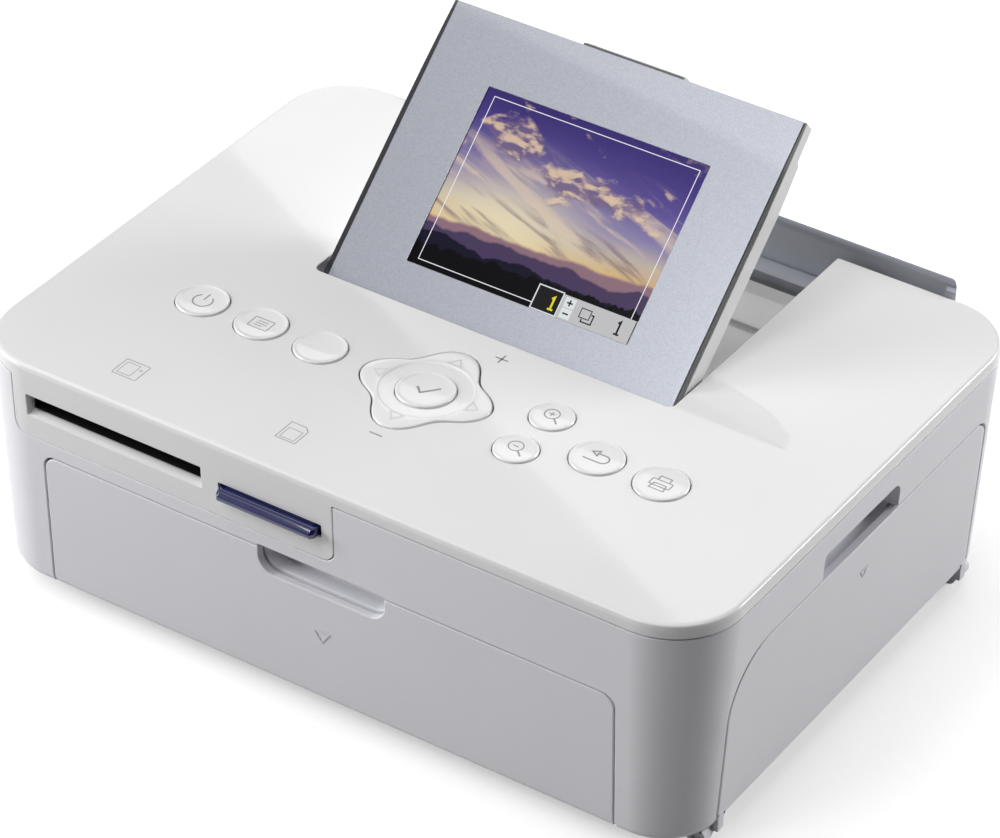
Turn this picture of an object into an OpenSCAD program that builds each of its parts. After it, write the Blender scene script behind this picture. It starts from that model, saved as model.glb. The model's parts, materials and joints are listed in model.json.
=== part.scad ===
// Compact photo printer: a moulded body with a tilting colour display in its top, two card
// slots and a paper door at the front, and an ink door on the right-hand side.
// Lengths are millimetres. X runs along the width, Y towards the rear and Z up. The origin
// lies on the table, under the middle of the printer with its memory card in place.

/* [Body] */
// Width of the body
body_w = 178; // [172:1:190]
// Depth of the moulded body, without the rear cover
body_d = 131; // [129:1:140]
// Height of the top cover's surface above the table
body_h = 60.5; // [60:0.5:64]
// Radius of the body's corners, seen from above
corner_r = 16; // [14:0.5:18]
// Draft of the outer walls, in degrees
draft = 2.7; // [1:0.1:3]
// Wall thickness of the mouldings
wall = 2; // [1.8:0.1:2.2]
// Height of the underside above the table
foot_h = 4; // [3.5:0.1:4.5]
// Depth of the top cover's skirt
skirt_h = 3.4; // [3:0.1:4]
// Width of the seams between the mouldings
seam = 0.3; // [0.2:0.05:0.4]

/* [Display] */
// Tilt of the raised display, in degrees
display_tilt = 42; // [30:1:45]
// Width of the display panel
display_w = 87.6; // [84:0.2:90]
// Length of the display panel along its face
display_l = 65.7; // [64:0.1:66]
// Width of the visible screen
screen_w = 54.6; // [50:0.2:58]
// Height of the visible screen
screen_l = 41; // [38:0.2:43]
// Distance from the panel's lower edge to the screen
screen_margin = 9.4; // [8:0.1:11]
// Distance from the body's front to the front of the display well
well_front = 63.1; // [62:0.1:64]

/* [Keys] */
// Distance from the body's front to the row of keys
key_row = 39.9; // [38:0.1:42]
// Distance between neighbouring keys
key_pitch = 15; // [14:0.1:16]
// Distance from the navigation pad to the nearest key
key_gap = 26.2; // [25:0.1:27]
// Radius of a large key
key_r = 5.75; // [5:0.05:6.2]
// Radius of a zoom key
zoom_r = 4.75; // [4.2:0.05:5]
// Radius of the navigation pad over its lobes
nav_r = 15.2; // [14:0.1:16]
// Radius of the confirm key
ok_r = 6.3; // [5.5:0.1:6.6]
// Travel of a key
key_travel = 0.6; // [0.3:0.05:0.6]

/* [Card slots] */
// Width of the wide card slot
cf_w = 43.2; // [42.8:0.1:44]
// Height of the wide card slot
cf_h = 3.6; // [3.4:0.1:4]
// Width of the memory card
card_w = 24; // [22:0.1:24]
// Length of the memory card
card_l = 32; // [28:0.5:32]
// Thickness of the memory card
card_t = 2.1; // [1.8:0.1:2.2]
// Length of the card that stands out of its slot
card_out = 2; // [1:0.1:3]

/* [Doors] */
// Width of the front door
door_w = 139; // [130:0.5:140]
// Height of the front door's upper edge above the table
door_top = 38.6; // [37:0.1:39.5]
// Width of the side door
side_w = 101.6; // [98:0.2:102]
// Height of the side door's upper edge above the table
side_top = 44.6; // [42:0.1:45]
// Thickness of the doors
door_t = 1.9; // [1.6:0.1:2]
// Radius of the hinge pins
pin_r = 1.2; // [1:0.05:1.3]

/* [Print mechanism] */
// Distance between the chassis plates
chassis_w = 119; // [117:0.5:120]
// Thickness of the chassis plates
plate_t = 1.2; // [1:0.1:1.5]
// Radius of the platen roller
platen_r = 6; // [5:0.1:6.2]
// Radius of the platen shaft
shaft_r = 2.5; // [2:0.1:2.8]
// Radius of the feed roller
feed_r = 4; // [3.5:0.1:4.2]
// Height of the paper path above the table
paper_z = 26; // [25.8:0.1:26.3]
// Radius of the ink cassette's tubes
tube_r = 7; // [6.6:0.1:7.1]
// Tooth size of the gears, pitch diameter over number of teeth
gear_m = 0.6; // [0.55:0.01:0.62]
// Width of the gears
gear_t = 4; // [3:0.1:5]

/* [Hidden] */
$fn = 64;
eps = 0.01;
fit = 0.05;             // radial clearance of a running fit
gap = 0.35;             // clearance between a moving panel and its opening

// places along the depth
rear_t = 4.5;
front_y = -(body_d + rear_t - card_out) / 2;
back_y = front_y + body_d;
mid_y = front_y + body_d / 2;
tail_y = back_y + rear_t;
top_in = body_h - wall;
seam_z = body_h - skirt_h;
floor_z = foot_h + wall;
function inset(z) = (body_h - z) * tan(draft);
function wall_x(z) = body_w / 2 - inset(z);
function wall_y(z) = front_y + inset(z);

// ---- shared shapes ------------------------------------------------------------------------

// One level of the drafted body, a rounded rectangle drawn in by d
module level(z, d) {
    r = corner_r - d;
    for (sx = [-1, 1], sy = [-1, 1])
        translate([sx * (body_w / 2 - corner_r), mid_y + sy * (body_d / 2 - corner_r), z])
            cylinder(h = eps, r = r);
}

// The drafted body between two heights, drawn in by d, with a rounded lower edge
module body_form(z0, z1, d, edge) {
    hull() {
        level(z0, inset(z0) + d + edge);
        level(z0 + edge * 0.3, inset(z0) + d + edge * 0.3);
        level(z0 + edge, inset(z0 + edge) + d);
        level(z1 - eps, inset(z1) + d);
    }
}

// Outlines drawn in the Y-Z plane run along X from x0 to x1
module along_x(x0, x1) {
    translate([x0, 0, 0]) rotate([90, 0, 90]) linear_extrude(x1 - x0) children();
}

// Outlines drawn in the X-Z plane run along Y from y0 to y1
module along_y(y0, y1) {
    translate([0, y1, 0]) rotate([90, 0, 0]) linear_extrude(y1 - y0) children();
}

// A box given by its lowest and highest corners
module block(a, b) {
    translate(a) cube(b - a);
}

// A rectangle with rounded corners: upper left, upper right and both lower ones
module panel_2d(u0, u1, v0, v1, rl, rr, rb) {
    difference() {
        translate([u0, v0]) square([u1 - u0, v1 - v0]);
        corner_cut(u0, v1, rl, 1, -1);
        corner_cut(u1, v1, rr, -1, -1);
        corner_cut(u0, v0, rb, 1, 1);
        corner_cut(u1, v0, rb, -1, 1);
    }
}

module corner_cut(u, v, r, su, sv) {
    if (r > 0)
        difference() {
            translate([u - eps * su, v - eps * sv]) mirror([su < 0 ? 1 : 0, 0])
                mirror([0, sv < 0 ? 1 : 0]) square(r + eps);
            translate([u + su * r, v + sv * r]) circle(r);
        }
}

// A round bar along X
module bar_x(x0, x1, y, z, r) {
    translate([x0, y, z]) rotate([0, 90, 0]) cylinder(h = x1 - x0, r = r);
}

// A round bar along Y
module bar_y(y0, y1, x, z, r) {
    translate([x, y1, z]) rotate([90, 0, 0]) cylinder(h = y1 - y0, r = r);
}

// ---- card slots ---------------------------------------------------------------------------

bezel_x0 = -76.5;
bezel_x1 = 3.9;
bezel_z = 42.6;
cf_x1 = -28.5;
cf_x0 = cf_x1 - cf_w;
cf_z = 49.6;
sd_x0 = -24.1;
sd_clear = 0.6;
sd_z = 48.5;
card_x0 = sd_x0 + sd_clear;
lead = 3;

// Outline of the part of the skirt that reaches down round the card slots
module bezel_outline(grow) {
    panel_2d(bezel_x0 - grow / 2, bezel_x1 + grow / 2, bezel_z - grow / 2, body_h, 0, 0, 3);
}

// The bevelled mouth of the wide slot, which opens towards the front, the left and down
module cf_mouth() {
    y = wall_y(cf_z);
    hull() {
        block([cf_x0 - 1.1, y - 1, cf_z - 1.8], [cf_x1 + eps, y, cf_z + cf_h]);
        block([cf_x0, y + lead, cf_z], [cf_x1, y + lead + eps, cf_z + cf_h]);
    }
}

// ---- the moulded body ---------------------------------------------------------------------

front_pin_z = 7.6;
front_pin_y = wall_y(front_pin_z) + 2.8;
door_x = 0.3;
door_x0 = door_x - door_w / 2;
door_x1 = door_x + door_w / 2;
door_z = foot_h + 0.9;
side_pin_x = wall_x(foot_h) - 2.8;
side_pin_z = 2.6;
side_mid = 66;           // from the body's front to the middle of the side door
side_y = front_y + side_mid;
side_y0 = side_y - side_w / 2;
side_y1 = side_y + side_w / 2;
side_big_r = 14;
lug_t = 3.2;
knuckle_r = 2.2;
arm_t = 2.4;
exit_z = paper_z;
bar_x0 = -67;
bar_x1 = 71.5;
rear_z0 = exit_z - 4.7;
crest_z = body_h + 1.8;
crest_t = 2.6;           // thickness of the rear cover's plate
end_t = 2.5;             // thickness of its end walls
rear_r = 5.5;            // radius of its corners, seen from above
tab_x = [-62, 64];       // tabs that hold the rear cover
tab_z = [31, 48];
panel_x = -0.65;         // middle of the display and its well
well_half = display_w / 2 + 0.5;
well_x0 = panel_x - well_half;
well_x1 = panel_x + well_half;
well_r = 1.6;            // front corners of the well
well_y = front_y + well_front;
well_z = body_h - 9;
well_end = back_y - 7;
trough_y = [well_end - 26, well_end - 15];   // shallow trough across the well's floor
boss_r = 4;
post_h = 3;
screw_r = 1.3;
head_rim = 2.4;          // radius of the screws' heads
head_seat = 3;           // depth of the heads' seats above the underside
boss_at = [[-1, -1], [1, -1], [-1, 1], [1, 1]];
function boss_x(s) = s * (body_w / 2 - 11);
function boss_y(s) = mid_y + s * (body_d / 2 - 12.5);

module front_outline(grow) {
    panel_2d(door_x0 - grow, door_x1 + grow, foot_h - 6, door_top + grow, 3, 3, 0);
}

module side_outline(grow) {
    panel_2d(side_y0 - grow, side_y1 + grow, foot_h - 6, side_top + grow, side_big_r, 4.5, 0);
}

// Finger notch over the front door and over the side door
notch_x0 = -15;
notch_x1 = 15.9;
notch_z = 32.6;
notch_r = 4;
pocket_y0 = side_y - 17;
pocket_y1 = side_y + 13;
pocket_z = side_top - 1.6;
pocket_top = side_top + 6.6;
pocket_d = 6;
scoop_r = 5.5;

module lower_case() color("#c9c9d1") {
    difference() {
        union() {
            difference() {
                body_form(foot_h, seam_z - seam / 2, 0, 2.4);
                body_form(floor_z, seam_z + 1, wall, 1.5);
            }
            door_lugs();
            side_lugs();
            case_bosses();
            board_rails();
            port_seats();
            // scooped backs of the finger pockets, closed to the inside
            block([notch_x0 - 2, wall_y(notch_z) + 0.9, notch_z - 1],
                [notch_x1 + 2, front_y + 9, door_top + 2]);
            block([wall_x(side_top) - pocket_d - 1.6, pocket_y0 - 2, pocket_z - 1.2],
                [wall_x(pocket_z) - 0.8, pocket_y1 + 2, pocket_top + 1.5]);
        }
        // room for the card bezel of the top cover
        along_y(front_y - 1, front_y + 5.3) bezel_outline(seam);
        // the paper door's opening and the room that its lower edge swings through
        difference() {
            along_y(front_y - 1, front_pin_y + 4.4) front_outline(gap);
            block([notch_x0 - 2, wall_y(notch_z - 1) + door_t + gap, notch_z - 1],
                [notch_x1 + 2, front_y + 12, door_top + 2]);
        }
        along_y(front_y - 1, front_y + 7)
            panel_2d(notch_x0, notch_x1, notch_z + 0.6, door_top + gap + 0.4, 0, 0, notch_r);
        // the ink door's opening
        along_x(side_pin_x - 0.5, body_w) difference() {
            side_outline(gap);
            translate([pocket_y0 - 2, pocket_z - 1.2]) square([pocket_y1 - pocket_y0 + 4, 12]);
        }
        along_x(wall_x(side_top) - door_t - gap, body_w) side_outline(gap);
        side_pocket();
        rear_openings();
        floor_vents();
        for (s = boss_at) translate([boss_x(s[0]), boss_y(s[1]), foot_h - 1]) {
            cylinder(h = body_h, r = screw_r + 0.3);
            cylinder(h = head_seat + 1, r = head_rim + 0.3);
        }
        for (s = [-1, 1]) bar_x(s > 0 ? door_x1 - 1 : door_x0 - lug_t - 1,
            s > 0 ? door_x1 + lug_t + 1 : door_x0 + 1, front_pin_y, front_pin_z, pin_r + fit);
        for (y = [side_y0, side_y1])
            bar_y(y - lug_t - 1, y + lug_t + 1, side_pin_x, side_pin_z, pin_r + fit);
        // room for the side door's arms
        for (y = [side_y0, side_y1 - arm_t]) block([side_pin_x - knuckle_r, y - gap, 0],
            [body_w, y + arm_t + gap, foot_h + 3 + gap]);
    }
}

// The finger pocket over the side door, scooped round at its rear end
module side_pocket() {
    back_x = wall_x(side_top) - pocket_d;
    intersection() {
        along_x(back_x, body_w) panel_2d(pocket_y0, pocket_y1, pocket_z, pocket_top, 1, 2.5, 1);
        translate([0, 0, pocket_z - 1]) linear_extrude(pocket_top - pocket_z + 2) difference() {
            translate([back_x, pocket_y0]) square([body_w, pocket_y1 - pocket_y0]);
            corner_cut(back_x, pocket_y1, scoop_r, 1, -1);
            corner_cut(back_x, pocket_y0, 1.5, 1, 1);
        }
    }
}

// Lugs inside the front corners, which hold the front door's pins
module door_lugs() {
    for (x = [door_x0 - gap - lug_t, door_x1 + gap]) block([x, wall_y(foot_h) + 1.2, foot_h + 0.6],
        [x + lug_t, front_pin_y + 4, front_pin_z + 4]);
}

// Round ears under the right-hand corners, which hold the side door's pins
module side_lugs() {
    for (y = [side_y0 - gap - lug_t, side_y1 + gap]) {
        bar_y(y, y + lug_t, side_pin_x, side_pin_z, knuckle_r);
        block([side_pin_x - knuckle_r, y, side_pin_z], [side_pin_x + 1.4, y + lug_t, floor_z]);
    }
}

module case_bosses() {
    for (s = boss_at) translate([boss_x(s[0]), boss_y(s[1]), foot_h + 0.5])
        cylinder(h = top_in - post_h - foot_h - 0.55, r = boss_r);
}

// Slotted rails that hold the main board upright
module board_rails() {
    for (y = [mid_y - 38, mid_y + 30]) difference() {
        block([board_x - 1.6, y, floor_z - 0.5], [board_x + board_w + 1.6, y + 6, board_z0 + 4]);
        block([board_x, y - 1, board_z0], [board_x + board_w, y + 7, board_z0 + 5]);
    }
}

// Seats under the data port and the power inlet
module port_seats() {
    block([usb_x - 4, back_y - 14, floor_z - 0.5], [usb_x + 4, back_y - 4, port_z - usb_h / 2]);
    difference() {
        block([inlet_x - 3, back_y - 12, floor_z - 0.5], [inlet_x + 3, back_y - 4, port_z - 2]);
        bar_y(back_y - 13, back_y, inlet_x, port_z, inlet_r);
    }
}

// Paper slot, sockets and the seat of the rear cover's strip in the rear wall
usb_x = -36;
port_z = 15;
usb_h = 11;
usb_l = 14.6;
inlet_r = 4;
board_x = -body_w / 2 + 9;
board_w = 1.6;
board_z0 = 12;
module rear_openings() {
    block([-53, back_y - 6, exit_z - 2.5], [53, back_y + 1, exit_z + 3]);
    block([usb_x - 6.3, back_y - 6, port_z - usb_h / 2 - 0.3],
        [usb_x + 6.3, back_y + 1, port_z + usb_h / 2 + 0.3]);
    bar_y(back_y - 9, back_y + 1, inlet_x, port_z, inlet_r + 0.2);
    block([well_x0 - 0.4, back_y - 6, well_z - 2.4], [well_x1 + 0.4, back_y + 1, body_h]);
    for (x = tab_x, z = tab_z) block([x - 3 - fit, back_y - 8, z - fit], [x + 3 + fit, back_y + 1, z + 2 + fit]);
}

// Rows of air slots in the floor
module floor_vents() {
    for (x = [-40 : 8 : 40])
        block([x - 1.2, mid_y + 18, foot_h - 1], [x + 1.2, mid_y + 44, floor_z + 1]);
}

nav_x = -0.65;
row_y = front_y + key_row;
zoom_dy = 6.65;
key_holes = [for (k = [0 : 2]) [nav_x - key_gap - k * key_pitch, 0, key_r],
    for (k = [1 : 2]) [nav_x + key_gap + k * key_pitch, 0, key_r],
    for (s = [-1, 1]) [nav_x + key_gap, s * zoom_dy, zoom_r]];
key_clear = 0.2;
key_proud = 0.3;
flange_z = top_in - 0.3;
flange_t = 1.1;
board_z = body_h - 7.6;
board_t = 1.4;
switch_h = 0.9;
board_posts = [for (x = [-1, 1], y = [-14, 14]) [nav_x + x * 59, y],
    [nav_x - 20, -14], [nav_x + 18, 14]];
stem_z = board_z + board_t + switch_h + key_travel + 0.1;

// The lobed outline of the navigation pad
module nav_2d(grow) {
    polygon([for (a = [0 : 5 : 355])
        let (r = nav_r * (0.865 + 0.135 * cos(4 * a)) + grow) [r * cos(a), r * sin(a)]]);
}

module top_cover() color("#f2f2f2") {
    difference() {
        union() {
            difference() {
                hull() {
                    level(bezel_z - 1, inset(bezel_z - 1));
                    level(body_h - 1.3, inset(body_h - 1.3));
                    level(body_h - 0.4, 0.45);
                    level(body_h - eps, 1.3);
                }
                hull() {
                    level(bezel_z - 2, inset(bezel_z - 2) + wall);
                    level(top_in - eps, inset(top_in) + wall);
                }
                // below the seam only the card bezel is left
                difference() {
                    block([-body_w, front_y - 5, bezel_z - 3], [body_w, back_y + 5, seam_z + seam / 2]);
                    along_y(front_y - 6, front_y + 10) bezel_outline(0);
                }
            }
            slot_walls();
            display_well();
        }
        translate([0, 0, well_z]) linear_extrude(body_h + 1 - well_z)
            panel_2d(well_x0, well_x1, well_y, back_y + 1, 0, 0, well_r);
        block([well_x0 + 0.5, trough_y[0], well_z - 1], [well_x1 - 0.5, trough_y[1], well_z + 1]);
        for (k = key_holes) translate([k[0], row_y + k[1], top_in - 1])
            cylinder(h = wall + 2, r = k[2] + key_clear);
        translate([nav_x, row_y, top_in - 1]) linear_extrude(wall + 2) nav_2d(gap);
        cf_mouth();
        block([cf_x0, front_y, cf_z], [cf_x1, front_y + 12, cf_z + cf_h]);
        block([sd_x0, front_y - 1, sd_z - sd_clear / 2],
            [sd_x0 + card_w + 2 * sd_clear, front_y + 12, sd_z + card_t + sd_clear]);
        for (s = [-1, 1]) bar_x(s > 0 ? well_x1 - 1 : well_x0 - wall - 1,
            s > 0 ? well_x1 + wall + 1 : well_x0 + 1, hinge_y, hinge_z, pin_r + fit);
    }
    cover_posts();
}

// Thicker walls behind the two card slots
module slot_walls() {
    block([cf_x0 - 1.5, wall_y(cf_z) + 0.6, cf_z - 2.6], [cf_x1 + 1.5, front_y + 5, cf_z + cf_h + 1.2]);
    block([sd_x0 - 1.2, wall_y(sd_z) + 0.6, sd_z - 1.8],
        [sd_x0 + card_w + 2.4, front_y + 5, sd_z + card_t + 1.8]);
}

// Walls and floor of the well that the display folds into
module display_well() {
    block([well_x0 - wall, well_y - wall, well_z - wall], [well_x1 + wall, well_end, body_h - 1]);
    for (s = [-1, 1]) block([s > 0 ? well_x1 : well_x0 - wall, well_y, well_z - wall],
        [s > 0 ? well_x1 + wall : well_x0, back_y - wall - 0.9, body_h - 1]);
}

// Posts that take the case screws, and shorter ones that hold the key board
module cover_posts() {
    for (p = board_posts) translate([p[0], row_y + p[1], board_z + board_t])
        cylinder(h = top_in - board_z - board_t + 0.2, r = 2);
    for (s = boss_at) translate([boss_x(s[0]), boss_y(s[1]), top_in - post_h])
        difference() {
            cylinder(h = post_h + 0.2, r = boss_r);
            translate([0, 0, -1]) cylinder(h = post_h + 0.4, r = screw_r);
        }
}

// The grey rear cover: a back plate with a paper slot, a rounded crest, end walls that turn
// forward and a strip that reaches under the closed display
module rear_cover() color("#878c9a") {
    r = crest_t / 2;
    difference() {
        intersection() {
            union() {
                along_x(bar_x0, bar_x1) {
                    translate([tail_y - crest_t, rear_z0]) square([crest_t, crest_z - r - rear_z0]);
                    translate([tail_y - r, crest_z - r]) circle(r);
                    translate([back_y + 0.15, rear_z0]) square([rear_t - 0.15, 2]);
                }
                for (x = [bar_x0, bar_x1 - end_t])
                    block([x, back_y + 0.15, rear_z0], [x + end_t, tail_y, crest_z - 0.9]);
                translate([0, 0, rear_z0]) linear_extrude(crest_z - 0.9 - rear_z0) {
                    corner_cut(bar_x1 - end_t, tail_y - crest_t, 1.6, -1, -1);
                    corner_cut(bar_x0 + end_t, tail_y - crest_t, 1.6, 1, -1);
                }
                block([well_x0 + 0.3, back_y - 3.4, well_z - 1.7], [well_x1 - 0.3, tail_y - 1, well_z + 0.3]);
            }
            along_y(back_y - 6, tail_y + 1) panel_2d(bar_x0, bar_x1, rear_z0, crest_z, 1.5, 1.5, 3);
            translate([0, 0, rear_z0 - 1]) linear_extrude(crest_z - rear_z0 + 2)
                panel_2d(bar_x0, bar_x1, back_y - 6, tail_y, rear_r, rear_r, 0);
        }
        // joint line between the strip and the plate
        block([well_x0, tail_y - crest_t - 0.4, well_z - 0.4], [well_x1, tail_y - crest_t, well_z + 1]);
        block([-53, back_y, exit_z - 2.5], [53, tail_y + 1, exit_z + 3]);
        for (x = [-54 : 6 : 54], z = [37, 43])
            block([x - 1.6, back_y, z], [x + 1.6, tail_y + 1, z + 1.6]);
    }
    for (x = tab_x, z = tab_z) block([x - 3, back_y - 4.4, z], [x + 3, tail_y - 1, z + 2]);
}

// The front door: a drafted panel with a lip round its lower edge and two stub pins
module front_door() color("#c4c4cd") {
    difference() {
        union() {
            intersection() {
                difference() {
                    body_form(foot_h, seam_z, 0, 2.4);
                    body_form(foot_h + door_t, seam_z + 1, door_t, 1);
                }
                along_y(front_y - 1, front_pin_y) front_outline(0);
                block([-body_w, front_y - 1, door_z], [body_w, front_y + 8, body_h]);
            }
            for (x = [door_x0, door_x1 - 2.5])
                block([x, front_pin_y - 2, front_pin_z - 1.9], [x + 2.5, front_pin_y + 1.9, front_pin_z + 1.9]);
            for (x = [-45, 0, 45]) rib_on_front(x);
        }
        along_y(front_y - 1, front_y + 12)
            panel_2d(notch_x0, notch_x1, notch_z, door_top + 1, 0, 0, notch_r);
    }
    for (s = [-1, 1]) bar_x(s > 0 ? door_x1 - 2 : door_x0 - lug_t + 0.4,
        s > 0 ? door_x1 + lug_t - 0.4 : door_x0 + 2, front_pin_y, front_pin_z, pin_r);
}

// Stiffening rib on the inside of the front door
module rib_on_front(x) {
    z0 = front_pin_z + 3;
    z1 = notch_z - 2;
    along_x(x - 0.6, x + 0.6) polygon([[wall_y(z0) + 1, z0], [wall_y(z0) + door_t + 1, z0],
        [wall_y(z1) + door_t + 1, z1], [wall_y(z1) + 1, z1]]);
}

// The side door, with a large front corner and two arms down to its pins
module side_door() color("#c4c4cd") {
    intersection() {
        difference() {
            body_form(foot_h, seam_z, 0, 2.4);
            body_form(foot_h + door_t, seam_z + 1, door_t, 1);
        }
        along_x(side_pin_x + 1.2, body_w) side_outline(0);
    }
    for (y = [side_y0, side_y1 - arm_t]) {
        bar_y(y, y + arm_t, side_pin_x, side_pin_z, knuckle_r - 0.3);
        block([side_pin_x - 1.2, y, side_pin_z], [side_pin_x + 3, y + arm_t, foot_h + 3]);
    }
    for (s = [-1, 1]) bar_y(s > 0 ? side_y1 - 1 : side_y0 - lug_t + 0.4,
        s > 0 ? side_y1 + lug_t - 0.4 : side_y0 + 1, side_pin_x, side_pin_z, pin_r);
}

// Four long screws that hold the case to the top cover from below
module case_screws() color("#70747a") {
    for (s = boss_at) translate([boss_x(s[0]), boss_y(s[1]), foot_h + 1.4]) difference() {
        union() {
            cylinder(h = top_in - foot_h - 2.4, r = screw_r - 0.05);
            cylinder(h = head_seat - 1.4, r = head_rim);
        }
        for (a = [0, 90]) rotate([0, 0, a]) translate([-1.2, -0.3, -1]) cube([2.4, 0.6, 1.7]);
    }
}

foot_in = [29, 18];      // from the body's sides and ends to the feet's middles
foot_r = 5;
module rubber_feet() color("#3c3c40") {
    for (sx = [-1, 1], sy = [-1, 1])
        translate([sx * (body_w / 2 - foot_in[0]), mid_y + sy * (body_d / 2 - foot_in[1]), 0]) {
            cylinder(h = 0.6 + eps, r1 = foot_r - 0.6, r2 = foot_r);
            translate([0, 0, 0.6]) cylinder(h = foot_h - 0.6, r = foot_r);
        }
}

// ---- display ------------------------------------------------------------------------------

hinge_in = 2.93;         // from the panel's lower edge to the hinge axis
hinge_deep = 2.4;        // from the panel's face to the hinge axis
hinge_y = well_y + 5.93;
hinge_z = body_h - hinge_deep;
top_l = display_l - hinge_in;
face_x = 0.15;           // middle of the silver face plate
face_half = display_w / 2 - 1.15;
screen_x = 0.4;
screen_y0 = screen_margin - hinge_in;
glass_deep = 0.45;
lip_deep = 0.25;         // depths of the dark lip, the shell's rim and the frame's back
rim_deep = 0.6;
bezel_t = rim_deep;      // thickness of the face plate
frame_deep = 3.2;
shell_wall = 0.6;
panel_r = [1.2, 0.8];    // lower and upper corners
taper_l = 33;            // the sides draw in above this line
taper_in = 0.5;
shell_deep = 6.4;        // depth of the back shell, and of its thin upper end
end_deep = 3.7;
step_l = top_l - 8.2;
flat_l = top_l - 28;     // the back is parallel to the face below this line
slope_l = 3.5;
low_deep = 4;
tab_x0 = 1.2 - 24.5 / 2;        // finger tab on the upper edge
tab_x1 = 1.2 + 24.5 / 2;
tab_out = 0.95;
tab_deep = 1.4;          // depth of the shell's tab under the frame's
rib_x = 24;              // outermost of the grip ribs on the back
rib_pitch = 8;
rib_y = [10, 28];

// Shapes drawn with the panel folded flat are raised to its tilt
module on_display() {
    translate([panel_x, hinge_y, hinge_z]) rotate([display_tilt, 0, 0]) children();
}

function side_point(d, s, t) = [s * (display_w / 2 - d - taper_in * t * t), taper_l + t * (top_l - taper_l)];

// A flat plate of the panel, drawn in by d, between two depths below the face
module display_plate(d, deep0, deep1, r_low, r_high) {
    half = display_w / 2 - d;
    translate([0, 0, hinge_deep - deep1]) linear_extrude(deep1 - deep0) intersection() {
        panel_2d(-half, half, d - hinge_in, top_l - d, r_high, r_high, r_low);
        polygon(concat([[-half, -display_l], [half, -display_l]],
            [for (t = [0 : 0.25 : 1]) side_point(d, 1, t)], [for (t = [1 : -0.25 : 0]) side_point(d, -1, t)]));
    }
}

// The silver face plate, grown by d, between two depths
module face_plate(d, deep0, deep1) {
    translate([0, 0, hinge_deep - deep1]) linear_extrude(deep1 - deep0)
        panel_2d(face_x - face_half - d, face_x + face_half + d, -hinge_in - d, top_l + d, 0.4, 0.4, 0.5);
}

module screen_window(grow, deep0, deep1) {
    block([screen_x - screen_w / 2 - grow, screen_y0 - grow, hinge_deep - deep1],
        [screen_x + screen_w / 2 + grow, screen_y0 + screen_l + grow, hinge_deep - deep0]);
}

module display_bezel() color("#b9bdc8") on_display() {
    difference() {
        face_plate(0, 0, bezel_t);
        screen_window(0, -1, bezel_t + 1);
    }
}

// Dark frame under the face plate, whose lip shows round it
module display_mid_frame() color("#3a3a3e") on_display() {
    difference() {
        union() {
            display_plate(0, lip_deep, rim_deep, panel_r[0], panel_r[1]);
            display_plate(shell_wall, rim_deep - eps, frame_deep, 0.6, 0.6);
            frame_tab(0);
        }
        face_plate(0.05, -1, bezel_t);
        screen_window(1.2, 0, bezel_t + 1.6);
        display_pivots();
    }
}

module frame_tab(grow) {
    block([tab_x0 - grow, top_l - shell_wall - 0.1, hinge_deep - tab_deep],
        [tab_x1 + grow, top_l + tab_out / 2 + grow, hinge_deep - lip_deep + grow]);
}

// Tray-shaped back shell with a stepped, thinner upper end, a finger tab and grip grooves
module display_back_shell() color("#e6e6e2") on_display() {
    difference() {
        union() {
            intersection() {
                display_plate(0, rim_deep, shell_deep, panel_r[0], panel_r[1]);
                along_y(-hinge_in - 1, top_l + 1) translate([0, hinge_deep])
                    panel_2d(-display_w / 2, display_w / 2, -shell_deep, -rim_deep, 0.25, 0.25, 1);
                along_x(-display_w, display_w) translate([0, hinge_deep]) polygon([[-hinge_in, 0],
                    [top_l, 0], [top_l, 0.5 - end_deep], [top_l - 0.5, -end_deep],
                    [step_l + 0.6, -end_deep - 0.1], [step_l, -end_deep - 1.3], [flat_l, -shell_deep],
                    [slope_l, -shell_deep], [-hinge_in, -low_deep]]);
            }
            block([tab_x0, top_l - 3, hinge_deep - end_deep + 0.2],
                [tab_x1, top_l + tab_out, hinge_deep - tab_deep]);
        }
        frame_tab(0.02);
        display_plate(shell_wall, 0, frame_deep, 0.6, 0.6);
        display_pivots();
        for (x = [-rib_x : rib_pitch : rib_x]) block([x - 1, rib_y[0], hinge_deep - shell_deep - 1],
            [x + 1, rib_y[1], hinge_deep - shell_deep + 0.8]);
    }
}

// The screen's glass with the panel behind it
module display_glass() color("#2b2a55") on_display() {
    screen_window(-fit, glass_deep, bezel_t);
    screen_window(1.1, bezel_t, bezel_t + 1.5);
}

module display_pins() color("#8c9096") on_display() display_pivots();

// The two pivots at the panel's lower edge
module display_pivots() {
    for (s = [-1, 1]) bar_x(s > 0 ? display_w / 2 - 3 : -well_half - wall + 0.4,
        s > 0 ? well_half + wall - 0.4 : -display_w / 2 + 3, 0, 0, pin_r);
}

// ---- keys ---------------------------------------------------------------------------------

// A round key: cap, flange under the cover and a stem over its switch
module key_cap(x, dy, r) {
    translate([x, row_y + dy, 0]) {
        translate([0, 0, flange_z]) cylinder(h = body_h + key_proud - flange_z - 0.4, r = r);
        translate([0, 0, body_h + key_proud - 0.4 - eps]) cylinder(h = 0.4 + eps, r1 = r, r2 = r - 0.4);
        translate([0, 0, flange_z - flange_t]) cylinder(h = flange_t + eps, r = r + 0.9);
        translate([0, 0, stem_z]) cylinder(h = flange_z - stem_z, r = 1.6);
    }
}

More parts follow.
